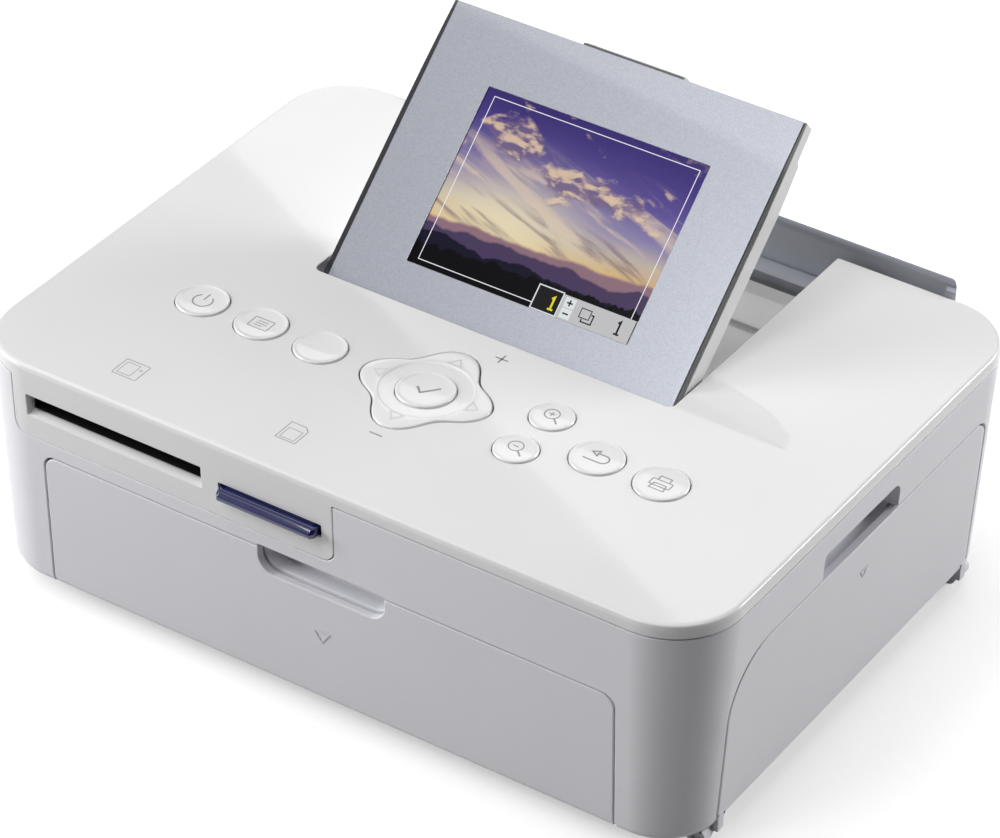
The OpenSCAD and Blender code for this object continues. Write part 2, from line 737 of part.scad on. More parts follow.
module power_key() color("#efefef") key_cap(nav_x - key_gap - 2 * key_pitch, 0, key_r);
module menu_key() color("#efefef") key_cap(nav_x - key_gap - key_pitch, 0, key_r);
module edit_key() color("#efefef") key_cap(nav_x - key_gap, 0, key_r);
module zoom_in_key() color("#efefef") key_cap(nav_x + key_gap, zoom_dy, zoom_r);
module zoom_out_key() color("#efefef") key_cap(nav_x + key_gap, -zoom_dy, zoom_r);
module back_key() color("#efefef") key_cap(nav_x + key_gap + key_pitch, 0, key_r);
module print_key() color("#efefef") key_cap(nav_x + key_gap + 2 * key_pitch, 0, key_r);

nav_low = flange_z - 0.5;
ring_z = board_z + board_t + 1.2;
module nav_pad() color("#f0f0f0") translate([nav_x, row_y, 0]) {
    difference() {
        union() {
            translate([0, 0, nav_low - eps]) linear_extrude(body_h + 0.2 - nav_low + eps) nav_2d(0);
            translate([0, 0, nav_low - 1.1]) cylinder(h = 1.1, r = nav_r + 1);
            for (a = [0 : 90 : 270]) rotate([0, 0, a]) translate([nav_r - 2, 0, stem_z])
                cylinder(h = nav_low - stem_z, r = 1.2);
        }
        translate([0, 0, nav_low - 2]) cylinder(h = 8, r = ok_r + key_clear);
    }
}

// The ring that the navigation pad rocks on
module nav_ring() color("#d8d8d8") translate([nav_x, row_y, ring_z]) {
    difference() {
        cylinder(h = 0.5, r = 10.8);
        translate([0, 0, -1]) cylinder(h = 4, r = 9);
    }
}

module ok_key() color("#f4f4f4") translate([nav_x, row_y, 0]) {
    translate([0, 0, stem_z]) cylinder(h = body_h + key_proud - stem_z, r = ok_r);
    translate([0, 0, stem_z]) cylinder(h = 0.3, r = ok_r + 1);
}

// Circuit board under the keys with a switch for each
module key_board() color("#3f7a52") {
    block([nav_x - 66, row_y - 18, board_z], [nav_x + 66, row_y + 18, board_z + board_t]);
    for (k = key_holes) switch_at(k[0], k[1]);
    switch_at(nav_x, 0);
    for (a = [0 : 90 : 270]) switch_at(nav_x + (nav_r - 2) * cos(a), (nav_r - 2) * sin(a));
}

module switch_at(x, dy) {
    translate([x, row_y + dy, board_z + board_t - eps]) {
        translate([-2.4, -2.4, 0]) cube([4.8, 4.8, switch_h * 0.6]);
        cylinder(h = switch_h, r = 1.5);
    }
}

// ---- electronics --------------------------------------------------------------------------

reader_z = sd_z - 4.5;
reader_l = card_l - card_out - 2.4;
// Metal cage behind the two card slots
module card_reader() color("#b8babf") {
    y0 = front_y + 5.4;
    difference() {
        block([cf_x0 - 1, y0, reader_z], [bezel_x1 - 1, y0 + reader_l, board_z]);
        block([cf_x0 - 0.2, y0 - 1, reader_z + 1], [cf_x1 + 0.2, y0 + reader_l - 1, board_z + 1]);
        block([sd_x0 - 0.2, y0 - 1, reader_z + 1],
            [sd_x0 + card_w + 1.3, y0 + reader_l - 1, board_z + 1]);
    }
}

// Memory card with its bevelled outer end
module memory_card() color("#191d63") {
    y0 = front_y - card_out;
    difference() {
        block([card_x0, y0, sd_z], [card_x0 + card_w, y0 + card_l, sd_z + card_t]);
        translate([card_x0 - 1, y0, sd_z - eps]) rotate([45, 0, 0]) cube([card_w + 2, 1, 1], center = false);
        translate([card_x0, y0 + card_l, sd_z - 1]) rotate([0, 0, 45]) cube([5, 5, 6], center = true);
    }
}

module main_board() color("#3f7a52") {
    block([board_x, mid_y - 42, board_z0], [board_x + board_w, mid_y + 40, 46]);
    for (c = [[-28, 24, 14, 1.6], [4, 26, 12, 2], [24, 18, 8, 3], [-10, 38, 6, 4]])
        block([board_x + board_w, mid_y + c[0] - c[2] / 2, c[1] - c[2] / 2],
            [board_x + board_w + c[3], mid_y + c[0] + c[2] / 2, c[1] + c[2] / 2]);
}

module usb_port() color("#b8babf") {
    difference() {
        block([usb_x - 6, back_y - 0.4 - usb_l, port_z - usb_h / 2],
            [usb_x + 6, back_y - 0.4, port_z + usb_h / 2]);
        block([usb_x - 4.2, back_y - 10, port_z - 3.9], [usb_x + 4.2, back_y + 1, port_z + 3.9]);
    }
    block([usb_x - 2.8, back_y - 10.5, port_z - 1.4], [usb_x + 2.8, back_y - 3, port_z + 1.4]);
}

module power_inlet() color("#2c2c2e") {
    difference() {
        bar_y(back_y - 13, back_y - 0.4, inlet_x, port_z, inlet_r);
        bar_y(back_y - 10, back_y + 1, inlet_x, port_z, 2.9);
    }
    bar_y(back_y - 10.5, back_y - 2, inlet_x, port_z, 0.9);
}

// ---- print mechanism ----------------------------------------------------------------------

platen_y = mid_y + 7;
platen_z = paper_z - platen_r;
feed_y = platen_y - 34;
feed_z = paper_z - feed_r;
pinch_r = 2.5;
pinch_z = paper_z + pinch_r + 0.3;
takeup_y = platen_y - 22;
supply_y = platen_y + 24;
tube_z = paper_z + tube_r + 1.3;
plate_x = chassis_w / 2;
inlet_x = (board_x + board_w - plate_x - plate_t) / 2;     // between the main board and the chassis
head_y = platen_y + 11;
head_z = tube_z + 4.6;
plate_top = well_z - wall - 0.4;
head_r = 1.5;
motor_r = 10;
motor_l = 15;
motor_y = platen_y + 39;
motor_z = floor_z + motor_r + 1.8;
gear_x1 = -plate_x - plate_t - 0.6;
gear_x0 = gear_x1 - gear_t;

n_platen = 40;
n_idler = 44;
n_pinion = 14;
n_transfer = 20;
n_takeup = 28;
n_feed = 22;
n_feed_idler = 28;
function pitch_r(n) = gear_m * n / 2;

// Centre that lies at r1 from a and r2 from b, on the side given by s
function meet(a, b, r1, r2, s) =
    let (d = norm(b - a), u = (b - a) / d, k = (r1 * r1 - r2 * r2 + d * d) / (2 * d),
        h = sqrt(r1 * r1 - k * k)) a + k * u + s * h * [-u[1], u[0]];
function heading(a, b) = atan2(b[1] - a[1], b[0] - a[0]);
// Turn of a gear that meshes with one of n1 teeth turned by phase1
function mesh_turn(phase1, n1, n2, dir) = dir + 180 + (180 - (phase1 - dir) * n1) / n2;

platen_c = [platen_y, platen_z];
motor_c = [motor_y, motor_z];
takeup_c = [takeup_y, tube_z];
idler_c = meet(platen_c, motor_c, pitch_r(n_platen + n_idler), pitch_r(n_idler + n_pinion), 1);
transfer_c = meet(platen_c, takeup_c, pitch_r(n_platen + n_transfer),
    pitch_r(n_transfer + n_takeup), -1);
feed_c = [feed_y, feed_z];
feed_idler_c = meet(platen_c, feed_c, pitch_r(n_platen + n_feed_idler),
    pitch_r(n_feed_idler + n_feed), 1);
idler_turn = mesh_turn(0, n_platen, n_idler, heading(platen_c, idler_c));
pinion_turn = mesh_turn(idler_turn, n_idler, n_pinion, heading(idler_c, motor_c));
transfer_turn = mesh_turn(0, n_platen, n_transfer, heading(platen_c, transfer_c));
feed_idler_turn = mesh_turn(0, n_platen, n_feed_idler, heading(platen_c, feed_idler_c));
feed_turn = mesh_turn(feed_idler_turn, n_feed_idler, n_feed, heading(feed_idler_c, feed_c));
takeup_turn = mesh_turn(transfer_turn, n_transfer, n_takeup, heading(transfer_c, takeup_c));

// Outline of a spur gear: teeth with sloped flanks, one centred on the first axis
module gear_2d(n) {
    r = pitch_r(n);
    a = 360 / n;
    polygon([for (k = [0 : n - 1]) each [
        for (p = [[-0.39, -1.2], [-0.215, 0], [-0.1, 0.9], [0.1, 0.9], [0.215, 0], [0.39, -1.2]])
            let (t = a * (k + p[0]), q = r + p[1] * gear_m) [q * cos(t), q * sin(t)]]]);
}

// A gear in the row outside the left chassis plate
module gear_at(c, n, turn, bore) {
    translate([gear_x0, c[0], c[1]]) rotate([90, 0, 90]) difference() {
        rotate([0, 0, turn]) linear_extrude(gear_t) gear_2d(n);
        translate([0, 0, -1]) cylinder(h = gear_t + 2, r = bore);
    }
}

stud_r = 1.5;
module motor_pinion() color("#c9a24b") {
    gear_at(motor_c, n_pinion, pinion_turn, 0.6);
    bar_x(gear_x0, -plate_x + 6, motor_y, motor_z, 1);
}

module idler_gear() color("#e9e6da") gear_at(idler_c, n_idler, idler_turn, stud_r + fit);
module transfer_gear() color("#e9e6da") gear_at(transfer_c, n_transfer, transfer_turn, stud_r + fit);
module platen_gear() color("#e9e6da") gear_at(platen_c, n_platen, 0, shaft_r);
module feed_gear() color("#e9e6da") gear_at(feed_c, n_feed, feed_turn, shaft_r);
module feed_idler() color("#e9e6da")
    gear_at(feed_idler_c, n_feed_idler, feed_idler_turn, stud_r + fit);

// The take-up gear and the hub that drives the spool through the chassis plate
hub_r = 3;
drive_r = 1;
module takeup_gear() color("#e9e6da") {
    gear_at(takeup_c, n_takeup, takeup_turn, 0.5);
    bar_x(gear_x1 - eps, -plate_x + 2, takeup_y, tube_z, hub_r);
    bar_x(gear_x1, cassette_x0 + 3.6, takeup_y, tube_z, drive_r);
}

// Studs on the left chassis plate that carry the loose gears
module gear_studs() color("#a9adb3") {
    for (c = [idler_c, transfer_c, feed_idler_c]) bar_x(gear_x0 - 0.6, -plate_x + 0.4, c[0], c[1], stud_r);
}

// Outline of a chassis plate, with the holes of the two driven shafts
module chassis_side() {
    z0 = floor_z + 0.3;
    difference() {
        polygon([[feed_y - 8, z0], [motor_y + motor_r + 2, z0], [motor_y + motor_r + 2, paper_z - 1],
            [supply_y + tube_r + 4, paper_z + 6], [supply_y + tube_r + 4, plate_top],
            [takeup_y - tube_r - 1, plate_top], [feed_y - 4, pinch_z + 4], [feed_y - 8, feed_z]]);
        translate([platen_y, platen_z]) circle(shaft_r + 1.5);
        translate([feed_y, feed_z]) circle(shaft_r + 1.5);
    }
}

module chassis_left() color("#aeb2b8") difference() {
    along_x(-plate_x - plate_t, -plate_x) chassis_side();
    bar_x(-plate_x - 5, -plate_x + 5, takeup_y, tube_z, hub_r + 0.2);
    bar_x(-plate_x - 5, -plate_x + 5, motor_y, motor_z, 3);
    bar_x(-plate_x - 5, -plate_x + 5, feed_y, pinch_z, shaft_r - 1 + fit);
    bar_x(-plate_x - 5, -plate_x + 5, head_y, head_z, head_r + fit);
    for (c = [idler_c, transfer_c, feed_idler_c]) bar_x(-plate_x - 5, -plate_x + 5, c[0], c[1], stud_r);
}

// The right-hand plate leaves a window for the ink cassette
module chassis_right() color("#aeb2b8") difference() {
    along_x(plate_x, plate_x + plate_t) difference() {
        chassis_side();
        for (y = [takeup_y, supply_y]) translate([y, tube_z]) circle(tube_r + 0.1);
        translate([takeup_y, paper_z + 0.5]) square([supply_y - takeup_y, 7.5]);
    }
    bar_x(plate_x - 5, plate_x + 5, head_y, head_z, head_r + fit);
    bar_x(plate_x - 5, plate_x + 5, feed_y, pinch_z, shaft_r - 1 + fit);
}

// Floor pan that ties the chassis plates together
module chassis_pan() color("#aeb2b8") {
    block([-plate_x, platen_y - 12, floor_z], [plate_x, platen_y + 44, floor_z + plate_t]);
}

module platen_roller() color("#4a4a4e") {
    bar_x(-plate_x + 5, plate_x - 5, platen_y, platen_z, platen_r);
    bar_x(gear_x0, plate_x + plate_t + 1.5, platen_y, platen_z, shaft_r - fit);
}

module feed_roller() color("#9b9fa5") {
    bar_x(-plate_x + 7, plate_x - 7, feed_y, feed_z, feed_r);
    bar_x(gear_x0, plate_x + plate_t + 1.5, feed_y, feed_z, shaft_r - fit);
}

module pinch_roller() color("#55555a") {
    bar_x(-plate_x + 8, plate_x - 8, feed_y, pinch_z, pinch_r);
    bar_x(-plate_x - plate_t - 0.4, plate_x + plate_t + 1, feed_y, pinch_z, shaft_r - 1);
}

// Plain bushes of the platen and feed shafts, pressed into both plates
module bushes() color("#efeadb") {
    for (s = [-1, 1], c = [platen_c, feed_c])
        difference() {
            bar_x(s > 0 ? plate_x - 0.8 : -plate_x - plate_t, s > 0 ? plate_x + plate_t : -plate_x + 0.8,
                c[0], c[1], shaft_r + 1.5);
            bar_x(-body_w / 2, body_w / 2, c[0], c[1], shaft_r);
        }
}

module head_shaft() color("#c3c6cb") {
    bar_x(-plate_x - plate_t - 0.5, plate_x + plate_t + 0.5, head_y, head_z, head_r);
}

// Two arms carry the print head on its shaft
module head_arms() color("#9ea2a8") {
    for (x = [-plate_x + 4, plate_x - 6]) difference() {
        hull() {
            bar_x(x, x + 2, head_y, head_z, head_r + 1.6);
            block([x, platen_y - 4, head_z - 4], [x + 2, platen_y + 2, head_z + 1]);
        }
        bar_x(x - 1, x + 3, head_y, head_z, head_r + fit);
    }
}

module head_heatsink() color("#bfc3c8") {
    difference() {
        block([-plate_x + 6, platen_y - 5, head_z - 4.4], [plate_x - 6, platen_y + 5, head_z + 1]);
        for (y = [-3.4 : 2.2 : 3.4]) block([-plate_x, platen_y + y, head_z - 2.6],
            [plate_x, platen_y + y + 1.1, head_z + 2]);
    }
}

module head_strip() color("#d9d2c4") {
    block([-50, platen_y - 2.5, head_z - 5.6], [50, platen_y + 2.5, head_z - 4.4]);
}

// ---- ink cassette -------------------------------------------------------------------------

web_z = [1.2, 5.4];      // webs between the tubes, above the paper path
grip_half = 4.5;         // half the height of the grip plate
grip_in = 4.6;           // from the side door's edge to the grip plate
slit_end = 4;
cassette_x0 = -plate_x + 0.6;
cassette_x1 = wall_x(side_top) - grip_in;
tube_wall = 1.1;
spool_r = 3.4;
supply_wound = 5.3;
takeup_wound = 4.2;
film_t = 0.2;
slit_h = 4;
film_z = tube_z - tube_r + 0.1;
film_bend = 4;           // from a tube's axis to the bend of the film

module cassette_shell() color("#d5d5da") {
    for (y = [takeup_y, supply_y]) difference() {
        bar_x(cassette_x0, cassette_x1, y, tube_z, tube_r);
        bar_x(cassette_x0 + 1.4, cassette_x1 - 1.4, y, tube_z, tube_r - tube_wall);
        bar_x(cassette_x0 - 1, cassette_x0 + 2, y, tube_z, hub_r + 0.4);
        // slit that the film leaves through
        s = y == takeup_y ? 1 : -1;
        block([cassette_x0 + slit_end, y + (s > 0 ? 0 : -tube_r - 1), tube_z - tube_r + 0.1],
            [plate_x - slit_end, y + (s > 0 ? tube_r + 1 : 0), tube_z - tube_r + slit_h]);
    }
    for (x = [cassette_x0, plate_x - 2.6]) difference() {
        block([x, takeup_y + 2, paper_z + web_z[0]], [x + 2.2, supply_y - 2, paper_z + web_z[1]]);
        for (y = [takeup_y, supply_y]) bar_x(x - 1, x + 4, y, tube_z, tube_r - 0.5);
    }
    // grip plate at the outer end
    difference() {
        block([cassette_x1 - 1.4, takeup_y, tube_z - grip_half],
            [cassette_x1, supply_y, tube_z + grip_half]);
        block([cassette_x1 - 2, takeup_y + 12, tube_z - 2], [cassette_x1 + 1, supply_y - 12, tube_z + 2]);
    }
}

module spool(y, wound) {
    bar_x(cassette_x0 + 1.8, cassette_x1 - 2, y, tube_z, spool_r);
    bar_x(cassette_x0 + 6, plate_x - 6, y, tube_z, wound);
}

module supply_spool() color("#3b3e66") spool(supply_y, supply_wound);
module takeup_spool() color("#3b3e66") difference() {
    spool(takeup_y, takeup_wound);
    bar_x(cassette_x0, cassette_x0 + 4, takeup_y, tube_z, drive_r);
}

// Point where a line from p touches a circle of radius r round c, on the side given by s
function touch(c, r, p, s) =
    let (v = p - c, a = atan2(v[1], v[0]) + s * acos(r / norm(v))) c + r * [cos(a), sin(a)];

// The film from the supply roll, under the print head and up to the take-up roll
module ink_film() color("#5a3f74") along_x(cassette_x0 + 6, plate_x - 6) {
    supply_c = [supply_y, tube_z];
    a = [takeup_y + film_bend, film_z];
    b = [supply_y - film_bend, film_z];
    a_in = a + [film_t, film_t];
    b_in = b + [-film_t, film_t];
    polygon([touch(takeup_c, takeup_wound + fit, a, 1), a, b,
        touch(supply_c, supply_wound + fit, b, -1),
        touch(supply_c, supply_wound + fit + film_t, b_in, -1), b_in, a_in,
        touch(takeup_c, takeup_wound + fit + film_t, a_in, 1)]);
}

// The stepper motor under the paper path
module feed_motor() color("#8f9399") {
    difference() {
        union() {
            bar_x(-plate_x, -plate_x + motor_l, motor_y, motor_z, motor_r);
            bar_x(-plate_x - plate_t - 0.4, -plate_x + 0.5, motor_y, motor_z, 2.9);
        }
        bar_x(-plate_x - 5, -plate_x + motor_l / 2, motor_y, motor_z, 1 + fit);
    }
}

lower_case();
top_cover();
rear_cover();
front_door();
side_door();
case_screws();
rubber_feet();
display_bezel();
display_mid_frame();
display_back_shell();
display_glass();
display_pins();
power_key();
menu_key();
edit_key();
zoom_in_key();
zoom_out_key();
back_key();
print_key();
nav_pad();
nav_ring();
ok_key();
key_board();
card_reader();
memory_card();
main_board();
usb_port();
power_inlet();
chassis_left();
chassis_right();
chassis_pan();
platen_roller();
platen_gear();
feed_roller();
feed_gear();
pinch_roller();
bushes();
head_shaft();
head_arms();
head_heatsink();
head_strip();
cassette_shell();
supply_spool();
takeup_spool();
ink_film();
takeup_gear();
transfer_gear();
idler_gear();
motor_pinion();
feed_motor();
gear_studs();
feed_idler();
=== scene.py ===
"""Looks of the compact photo printer: finishes, rounded mouldings, signs and the display's picture.

Everything is in metres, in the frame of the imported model: +X runs along the width, +Y to the rear
and +Z up. Custom pieces are drawn in millimetres and scaled when they are made.

The order is: places from the frame, materials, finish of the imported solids, custom pieces, the
display's picture, then the room, the lights and the camera.
"""

import json
import math

import bmesh
import bpy
from mathutils import Matrix, Vector
from mathutils.bvhtree import BVHTree

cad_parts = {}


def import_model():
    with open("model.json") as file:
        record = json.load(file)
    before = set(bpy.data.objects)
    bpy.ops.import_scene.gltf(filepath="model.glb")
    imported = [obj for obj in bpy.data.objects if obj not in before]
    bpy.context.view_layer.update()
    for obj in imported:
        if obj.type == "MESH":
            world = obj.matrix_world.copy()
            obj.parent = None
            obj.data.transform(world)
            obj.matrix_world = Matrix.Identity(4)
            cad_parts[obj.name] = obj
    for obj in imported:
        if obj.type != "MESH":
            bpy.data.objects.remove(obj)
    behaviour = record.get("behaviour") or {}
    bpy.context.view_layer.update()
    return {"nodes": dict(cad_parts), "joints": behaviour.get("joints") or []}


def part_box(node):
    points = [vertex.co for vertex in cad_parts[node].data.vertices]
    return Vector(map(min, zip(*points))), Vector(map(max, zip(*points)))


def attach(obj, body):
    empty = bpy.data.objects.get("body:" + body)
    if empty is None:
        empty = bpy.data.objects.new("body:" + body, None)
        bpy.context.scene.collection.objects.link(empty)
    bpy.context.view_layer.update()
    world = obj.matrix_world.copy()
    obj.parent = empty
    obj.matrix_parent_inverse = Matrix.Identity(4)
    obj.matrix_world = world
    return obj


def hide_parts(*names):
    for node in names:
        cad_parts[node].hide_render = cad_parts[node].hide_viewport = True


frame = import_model()
nodes = frame["nodes"]

MM = 0.001

# ---- places taken from the frame ---------------------------------------------------------------


def box_mm(node):
    """Corners of a node's box, in millimetres."""
    low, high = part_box(node)
    return low / MM, high / MM


joints = {joint["name"]: joint for joint in frame["joints"]}
KEY_PROUD = 0.3          # how far a key stands over the cover's top
TOP = box_mm("menu_key")[1].z - KEY_PROUD
hinge = Vector(joints["display_tilt"]["pos_m"])
TILT = math.radians(-joints["display_tilt"]["range_deg"][0])
PANEL = Matrix.Translation(hinge) @ Matrix.Rotation(TILT, 4, "X")
nav_low, nav_high = box_mm("nav_pad")
NAV = (nav_low + nav_high) / 2


def panel_box(node):
    """Corners of a display node's box in the panel's own frame, in millimetres."""
    back = PANEL.inverted()
    points = [back @ vertex.co / MM for vertex in nodes[node].data.vertices]
    return (Vector(min(p[i] for p in points) for i in range(3)),
            Vector(max(p[i] for p in points) for i in range(3)))


def touch(node, start, direction):
    """Where a ray meets a node, and the surface's normal there, in millimetres."""
    mesh = nodes[node].data
    points = [vertex.co / MM for vertex in mesh.vertices]
    tree = BVHTree.FromPolygons(points, [polygon.vertices[:] for polygon in mesh.polygons])
    place, normal, _, _ = tree.ray_cast(Vector(start), Vector(direction))
    return place, normal


def plane_on(node, start, direction, across):
    """Matrix of a plane that lies on a node's surface, with its X axis along across."""
    place, normal = touch(node, start, direction)
    out = -normal if normal.dot(Vector(direction)) > 0 else normal
    side = Vector(across) - out * out.dot(Vector(across))
    side.normalize()
    up = out.cross(side)
    return Matrix((
        (side.x, up.x, out.x, place.x * MM),
        (side.y, up.y, out.y, place.y * MM),
        (side.z, up.z, out.z, place.z * MM),
        (0, 0, 0, 1),
    ))


# ---- materials ---------------------------------------------------------------------------------


def srgb(r, g, b):
    """A colour written as 0 to 255 in the display's scale."""
    return tuple(((c / 255 + 0.055) / 1.055) ** 2.4 if c > 10 else c / 255 / 12.92 for c in (r, g, b))


def material(name, colour, roughness, metallic=0.0, **sockets):
    """A material whose uniform values sit on the shader's own sockets."""
    made = bpy.data.materials.new(name)
    made.use_nodes = True
    shader = made.node_tree.nodes["Principled BSDF"]
    shader.inputs["Base Color"].default_value = (*colour, 1)
    shader.inputs["Roughness"].default_value = roughness
    shader.inputs["Metallic"].default_value = metallic
    for socket, value in sockets.items():
        shader.inputs[socket.replace("_", " ")].default_value = value
    return made


def add_node(made, kind, **settings):
    """A node in a material, with its plain settings."""
    node = made.node_tree.nodes.new(kind)
    for key, value in settings.items():
        setattr(node, key, value)
    return node


def noise(made, scale, detail=3.0, stretch=(1, 1, 1)):
    """Noise in object coordinates, with its scale in cycles per metre."""
    links = made.node_tree.links
    place = add_node(made, "ShaderNodeTexCoord")
    mapping = add_node(made, "ShaderNodeMapping")
    mapping.inputs["Scale"].default_value = stretch
    texture = add_node(made, "ShaderNodeTexNoise")
    texture.inputs["Scale"].default_value = scale
    texture.inputs["Detail"].default_value = detail
    links.new(place.outputs["Object"], mapping.inputs["Vector"])
    links.new(mapping.outputs["Vector"], texture.inputs["Vector"])
    return texture.outputs["Fac"]


def ramp(made, factor, stops):
    """Colours along a factor: stops are (position, (r, g, b))."""
    node = add_node(made, "ShaderNodeValToRGB")
    elements = node.color_ramp.elements
    while len(elements) < len(stops):
        elements.new(0.5)
    for element, (position, colour) in zip(elements, stops):
        element.position = position
        element.color = (*colour, 1)
    made.node_tree.links.new(factor, node.inputs["Fac"])
    return node.outputs["Color"]


def vary_colour(made, factor, colour, spread):
    """The base colour wanders a little round its value."""
    low = tuple(max(0, c * (1 - spread)) for c in colour)
    high = tuple(min(1, c * (1 + spread)) for c in colour)
    shader = made.node_tree.nodes["Principled BSDF"]
    made.node_tree.links.new(ramp(made, factor, [(0.3, low), (0.7, high)]), shader.inputs["Base Color"])


def vary_roughness(made, factor, low, high):
    """The roughness runs from low to high along a factor."""
    node = add_node(made, "ShaderNodeMapRange")
    node.inputs["To Min"].default_value = low
    node.inputs["To Max"].default_value = high
    made.node_tree.links.new(factor, node.inputs["Value"])
    shader = made.node_tree.nodes["Principled BSDF"]
    made.node_tree.links.new(node.outputs["Result"], shader.inputs["Roughness"])


def bump(made, factor, height, strength=1.0):
    """Fine relief of the given height in metres."""
    node = add_node(made, "ShaderNodeBump")
    node.inputs["Strength"].default_value = strength
    node.inputs["Distance"].default_value = height
    made.node_tree.links.new(factor, node.inputs["Height"])
    shader = made.node_tree.nodes["Principled BSDF"]
    made.node_tree.links.new(node.outputs["Normal"], shader.inputs["Normal"])


def moulded(name, colour, roughness, grain, height, **sockets):
    """Moulded plastic: a fine eroded grain and faint clouds in tone and gloss."""
    made = material(name, colour, roughness, **sockets)
    vary_colour(made, noise(made, 35), colour, 0.012)
    vary_roughness(made, noise(made, 160), roughness * 0.9, roughness * 1.12)
    bump(made, noise(made, grain, 2.0), height)
    return made


def metallic_paint(name, colour, roughness):
    """Silver paint under a clear coat, with fine flakes that catch the light one by one."""
    made = material(name, colour, roughness, metallic=0.6, Coat_Weight=1.0, Coat_Roughness=0.03)
    flakes = add_node(made, "ShaderNodeTexVoronoi")
    flakes.inputs["Scale"].default_value = 5200
    place = add_node(made, "ShaderNodeTexCoord")
    made.node_tree.links.new(place.outputs["Object"], flakes.inputs["Vector"])
    shade = add_node(made, "ShaderNodeSeparateColor")
    made.node_tree.links.new(flakes.outputs["Color"], shade.inputs["Color"])
    vary_colour(made, shade.outputs["Red"], colour, 0.06)
    return made


def metal(name, colour, roughness):
    """Drawn or rolled metal with a directional grain."""
    made = material(name, colour, roughness, metallic=1.0)
    grain = noise(made, 900, 4.0, (0.04, 1, 1))
    vary_colour(made, grain, colour, 0.06)
    vary_roughness(made, grain, roughness * 0.75, roughness * 1.25)
    bump(made, grain, 0.02 * MM, 0.4)
    return made


# The slate's own mid grey, lifted lighter as painted light for its face, which lies in shade behind the
# display
SLATE_FACE_AND_PAINTED_LIGHT = srgb(190, 193, 202)
# Painted shade: a darker slate for the crest, standing in for the shade along it
SLATE_CREST_PAINTED_SHADE = srgb(140, 143, 154)
FILM_VIOLET = srgb(92, 58, 122)
GLOSS = {"Coat_Weight": 0.75, "Coat_Roughness": 0.035, "Specular_IOR_Level": 0.25}
COVER_WHITE = moulded("cover_white", srgb(230, 230, 230), 0.32, 500, 0.0006 * MM, **GLOSS)
KEY_WHITE = moulded("key_white", srgb(236, 236, 236), 0.3, 500, 0.0006 * MM, **GLOSS)
CASE_GREY = moulded("case_grey", srgb(230, 230, 235), 0.42, 2600, 0.004 * MM)
DOOR_GREY = moulded("door_grey", srgb(227, 227, 232), 0.42, 2600, 0.004 * MM)
SLATE = moulded("slate", SLATE_FACE_AND_PAINTED_LIGHT, 0.36, 2200, 0.005 * MM)
BEZEL_SILVER = metallic_paint("bezel_silver", srgb(157, 160, 169), 0.3)
FRAME_DARK = moulded("frame_dark", srgb(44, 44, 49), 0.22, 2200, 0.001 * MM, Coat_Weight=1.0,
                     Coat_Roughness=0.03)
SHELL_WHITE = moulded("shell_white", srgb(224, 224, 224), 0.38, 2200, 0.004 * MM)
RUBBER = moulded("rubber", srgb(52, 52, 54), 0.75, 1500, 0.02 * MM)
CARD_NAVY = moulded("card_navy", srgb(12, 18, 84), 0.3, 1800, 0.001 * MM, Coat_Weight=1.0,
                    Coat_Roughness=0.04)
BLACK = moulded("black_plastic", srgb(14, 14, 15), 0.5, 1800, 0.006 * MM)
IVORY = moulded("gear_ivory", srgb(232, 227, 212), 0.4, 1600, 0.004 * MM)
CERAMIC = moulded("ceramic", srgb(222, 214, 200), 0.25, 900, 0.003 * MM)
FILM = material("film_violet", FILM_VIOLET, 0.18, Coat_Weight=0.5, Coat_Roughness=0.05)
vary_colour(FILM, noise(FILM, 60, 2.0, (1, 8, 1)), FILM_VIOLET, 0.1)
WOUND_FILM = moulded("spool_blue", srgb(58, 60, 98), 0.3, 700, 0.01 * MM)
STEEL = metal("steel", srgb(182, 184, 188), 0.36)
SCREW_STEEL = metal("screw_steel", srgb(120, 122, 126), 0.4)
ALUMINIUM = metal("aluminium", srgb(200, 202, 206), 0.34)
BRASS = metal("brass", srgb(208, 172, 96), 0.3)
PRINT_GREY = moulded("print_grey", srgb(150, 150, 153), 0.4, 1800, 0.001 * MM)
# Light grey on the pad's raised triangles: painted shade in place of the shading of their embossed
# edges
NAV_MARK_SHADE = moulded("nav_mark_painted_shade", srgb(214, 214, 216), 0.35, 1200, 0.001 * MM)


def painted_crest_shade(made, below, above, low, high):
    """Painted shade: the base colour turns darker between two heights, standing in for the shade along
    a crest.
    """
    place = add_node(made, "ShaderNodeTexCoord")
    split = add_node(made, "ShaderNodeSeparateXYZ")
    span = add_node(made, "ShaderNodeMapRange")
    span.inputs["From Min"].default_value = low
    span.inputs["From Max"].default_value = high
    made.node_tree.links.new(place.outputs["Object"], split.inputs[0])
    made.node_tree.links.new(split.outputs[2], span.inputs["Value"])
    shader = made.node_tree.nodes["Principled BSDF"]
    made.node_tree.links.new(ramp(made, span.outputs["Result"], [(0, below), (1, above)]),
                             shader.inputs["Base Color"])


# Painted shade: the slate turns darker towards the rear cover's crest
crest = box_mm("rear_cover")[1].z * MM
painted_crest_shade(SLATE, SLATE_FACE_AND_PAINTED_LIGHT, SLATE_CREST_PAINTED_SHADE, crest - 1.5 * MM, crest - 0.5 * MM)


